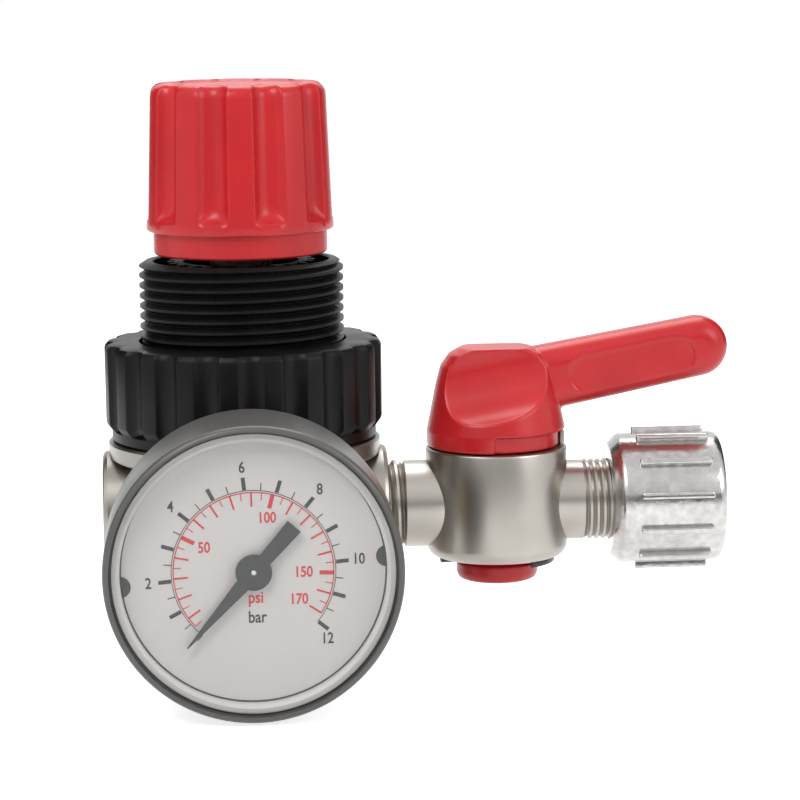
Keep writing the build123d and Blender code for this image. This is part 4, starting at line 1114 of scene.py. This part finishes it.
# %% Retaining clip
CLIP_IN_R, CLIP_OUT_R = 5.25, 8.6
CLIP_LOW, CLIP_HIGH = -8.85, -8.15
clip = turned_ring(
    "spring_clip",
    [
        (CLIP_IN_R, CLIP_LOW),
        (CLIP_OUT_R, CLIP_LOW),
        (CLIP_OUT_R, CLIP_HIGH),
        (CLIP_IN_R, CLIP_HIGH),
        (CLIP_IN_R, CLIP_LOW),
    ],
    96,
)
mouth = block("mouth", (14.0, 9.0, 3.0), (-2.6, -5.9, CLIP_LOW))
combine(clip, mouth, "DIFFERENCE")
soften(clip, 0.08)
on_valve(clip)
dress(clip, "black_steel", "lever", "retaining_clip")

# %% [markdown]
# ## Hose nut
# The nut is die-cast zinc: a cup with a bevelled small end and twelve grip ribs. Its edges are soft, since
# it came out of a mould. One bevel over the whole nut would also round its bore, so each rib is softened
# first, and the ring of ribs is then united with the turned cup.

# %% Hose nut
NUT_R, NUT_THREAD_R, NUT_CAVITY_R, NUT_MOUTH_R = 9.71, 6.05, 7.4, 5.7
NUT_RIBS, RIB_PHASE = 12, 19  # the phase at which the ribs stand in the photograph
nut_start, thread_end, lip_start, nut_end = 75.2, 83.2, 90.34, 91.84
nut_body = turned_ring(
    "die_cast_nut",
    [
        (NUT_THREAD_R, nut_start),
        (8.1, nut_start),
        (8.3, 75.28),
        (9.35, 76.3),
        (9.6, 76.6),
        (NUT_R, 77.0),
        (NUT_R, 90.6),
        (9.6, 91.2),
        (9.3, 91.6),
        (8.8, nut_end),
        (6.0, nut_end),
        (NUT_MOUTH_R, 91.6),
        (NUT_MOUTH_R, lip_start),
        (NUT_CAVITY_R, lip_start),
        (NUT_CAVITY_R, thread_end),
        (NUT_THREAD_R, thread_end),
        (NUT_THREAD_R, nut_start),
    ],
    144,
)
rib = block("rib", (1.3, 1.0, 10.8), (10.0, 0, 84.4))
soften(rib, 0.28, 4)
combine(nut_body, ring_of(rib, NUT_RIBS, RIB_PHASE))
smooth(nut_body, 30)
lay(nut_body, turn=ALONG_FLOW)
dress(nut_body, "zinc", "nut", "hose_nut")

# %% [markdown]
# ## Red lever
# The lever is one moulding with soft edges everywhere: a domed cap with thumb scoops, and an arm. Beveling
# each edge of such a blend by hand is slow. Its CAD shape is right, so a copy of it is merged, given an
# even skin of small faces by a voxel remesh, and smoothed until the edges are as soft as moulded ones.


# %% Lever
def solid_copy(node_name, name):
    """A free copy of a CAD node, with the corners that its faces share merged."""
    source = frame["nodes"][node_name]
    piece = source.copy()
    piece.data = source.data.copy()
    piece.name = name
    piece.parent = None
    for key in [key for key in piece.keys() if key.startswith("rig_")]:
        del piece[key]
    bpy.context.collection.objects.link(piece)
    make_active(piece)
    bpy.ops.object.mode_set(mode="EDIT")
    weld(0.001)
    bpy.ops.object.mode_set(mode="OBJECT")
    return piece


lever = solid_copy("valve_lever", "red_lever")
add_modifier(lever, "REMESH", mode="VOXEL", voxel_size=0.22 * MM)
add_modifier(lever, "SMOOTH", factor=0.5, iterations=3)
bpy.ops.object.shade_smooth()
dress(lever, "red_lever", "lever", "valve_lever")

# %% [markdown]
# ## Springs and diaphragm
# The springs and the diaphragm give way when what they press on moves. Rigid copies would cut into their
# seats. Each is a rigid copy of its CAD node, its corners merged, that takes the node's place with its
# finish.


# %% Pieces that give way
def giving(node_name, name, slot):
    """A merged copy of a node that takes its place, with this finish, on the regulator's body."""
    piece = solid_copy(node_name, name)
    dress(piece, slot, "regulator", node_name)
    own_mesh(piece)


giving("regulating_spring", "coiled_main_spring", "spring_steel")
giving("valve_spring", "coiled_valve_spring", "spring_steel")
giving("diaphragm", "pressed_diaphragm", "rubber")

# %% [markdown]
# ## Studio floor
# The photograph was taken on white, with a faint shadow. Under soft lamps a white floor alone would look
# grey to the camera, and a brighter lamp would bleach the object. So the floor glows a little, only for
# the camera and in reflections, and still keeps the object's shadow.

# %% Floor
FLOOR_GLOW = 0.75
clear_selection()
bpy.ops.mesh.primitive_plane_add(size=3.0, location=(TOWER_X * MM, 0.4, cad_low.z - 0.4 * MM))
floor = bpy.context.active_object
floor.name = "studio_floor"
bpy.ops.object.transform_apply(location=True)
floor_material, floor_tree, floor_shader = principled(
    "Studio floor", Base_Color=(0.9, 0.9, 0.9, 1), Roughness=0.9, Specular_IOR_Level=0.0
)
floor_glow = node(floor_tree, "ShaderNodeEmission", (0, -300))
floor_add = node(floor_tree, "ShaderNodeAddShader", (300, 0))
floor_path = node(floor_tree, "ShaderNodeLightPath", (-600, -300))
floor_seen = node(floor_tree, "ShaderNodeMath", (-400, -300), operation="MAXIMUM")
floor_level = node(floor_tree, "ShaderNodeMath", (-200, -300), operation="MULTIPLY")
floor_level.inputs[1].default_value = FLOOR_GLOW
wire(
    floor_tree,
    (floor_path, "Is Camera Ray", floor_seen, 0),
    (floor_path, "Is Glossy Ray", floor_seen, 1),
    (floor_seen, "Value", floor_level, 0),
    (floor_level, "Value", floor_glow, "Strength"),
    (floor_shader, "BSDF", floor_add, 0),
    (floor_glow, "Emission", floor_add, 1),
    (floor_add, "Shader", floor_tree.nodes["Material Output"], "Surface"),
)
floor.data.materials.append(floor_material)

# %% [markdown]
# ## White background
# The camera, metal and clear plastic see a pure white room. The light that the room casts on the object
# is much weaker, since a room that bright would take every shadow away. Light Path tells the rays apart.

# %% Background
ROOM_LIGHT, ROOM_SEEN = 0.36, 1.0
world = bpy.data.worlds.new("Studio room")
bpy.context.scene.world = world
world.use_nodes = True
sky = world.node_tree
sky_light = sky.nodes["Background"]
sky_seen = node(sky, "ShaderNodeBackground", (0, -200))
for background, strength in ((sky_light, ROOM_LIGHT), (sky_seen, ROOM_SEEN)):
    background.inputs["Color"].default_value = (1, 1, 1, 1)
    background.inputs["Strength"].default_value = strength
sky_path = node(sky, "ShaderNodeLightPath", (-600, 300))
sky_first = node(sky, "ShaderNodeMath", (-400, 300), operation="MAXIMUM")
sky_second = node(sky, "ShaderNodeMath", (-200, 300), operation="MAXIMUM")
sky_mix = node(sky, "ShaderNodeMixShader", (200, 0))
wire(
    sky,
    (sky_path, "Is Camera Ray", sky_first, 0),
    (sky_path, "Is Glossy Ray", sky_first, 1),
    (sky_first, "Value", sky_second, 0),
    (sky_path, "Is Transmission Ray", sky_second, 1),
    (sky_second, "Value", sky_mix, "Fac"),
    (sky_light, "Background", sky_mix, 1),
    (sky_seen, "Background", sky_mix, 2),
    (sky_mix, "Shader", sky.nodes["World Output"], "Surface"),
)

# %% [markdown]
# ## Lamps
# Three large soft boxes: the key from the upper left, a weaker fill from the right, and one behind that
# draws bright edges on the metal. Small lamps would give hard spots, which the photograph doesn't have.


# %% Lamps
def lamp(name, place, aim, size, power):
    """A square soft box that faces a point."""
    clear_selection()
    bpy.ops.object.light_add(type="AREA", location=[value * MM for value in place])
    light = bpy.context.active_object
    light.name = name
    light.data.size = size * MM
    light.data.energy = power
    light.rotation_euler = (Vector(aim) - Vector(place)).to_track_quat("-Z", "Y").to_euler()
    print(name, power, "W")


lamp("key_lamp", (-160, -260, 330), (30, 0, 10), 220, 0.9)
lamp("fill_lamp", (330, -230, 200), (40, 0, 10), 200, 0.4)
lamp("rear_lamp", (60, 180, 360), (40, 0, 10), 260, 0.75)

# %% [markdown]
# ## Dark cards
# A photographer gives polished metal its shape with dark cards beside the camera. The cards here are seen
# only in reflections, so they don't darken the room.

# %% Cards
card_material, _, _ = principled("Dark card", Base_Color=(0.02, 0.02, 0.02, 1), Roughness=1.0)


def card(name, size, place, turn):
    """A dark upright card."""
    clear_selection()
    bpy.ops.mesh.primitive_plane_add(size=1)
    made = bpy.context.active_object
    made.name = name
    made.scale = (size[0] * MM, size[1] * MM, 1)
    lay(made, place, turn)
    made.data.materials.append(card_material)
    made.visible_camera = False
    made.visible_diffuse = False
    made.visible_shadow = False
    made.visible_transmission = False


card("dark_card_front", (900, 110), (60, -520, 65), (90, 0, 0))
card("dark_card_left", (420, 700), (-360, 330, 330), (90, 0, 45))
card("dark_card_right", (420, 700), (470, 330, 330), (90, 0, -45))

# %% [markdown]
# ## Camera
# The camera stands where the photographer stood, so the render can be laid over the photograph. Its place,
# its three angles and its focal length in pixels were fitted to the photograph. Aiming it at a point would
# be simpler, but it would lose the small roll.

# %% Camera
CAMERA_PLACE = (12.588, -449.689, 83.523)
CAMERA_YAW, CAMERA_PITCH, CAMERA_ROLL = 4.017, 8.566, -0.757
FOCAL_PIXELS, PHOTO_PIXELS, SENSOR_WIDTH = 3067.245, 800, 36
clear_selection()
bpy.ops.object.camera_add(location=[value * MM for value in CAMERA_PLACE])
camera = bpy.context.active_object
yaw, pitch, roll = (math.radians(angle) for angle in (CAMERA_YAW, CAMERA_PITCH, CAMERA_ROLL))
ahead = Vector((math.sin(yaw) * math.cos(pitch), math.cos(yaw) * math.cos(pitch), -math.sin(pitch)))
camera.rotation_mode = "QUATERNION"
camera.rotation_quaternion = ahead.to_track_quat("-Z", "Y")
camera.rotation_mode = "XYZ"
camera.rotation_euler.rotate_axis("Z", roll)
camera.data.lens = FOCAL_PIXELS / PHOTO_PIXELS * SENSOR_WIDTH
camera.data.sensor_width = SENSOR_WIDTH
camera.data.clip_start = 0.01
bpy.context.scene.camera = camera
bpy.context.scene.view_settings.view_transform = "Standard"
print("camera lens", round(camera.data.lens, 1), "mm")
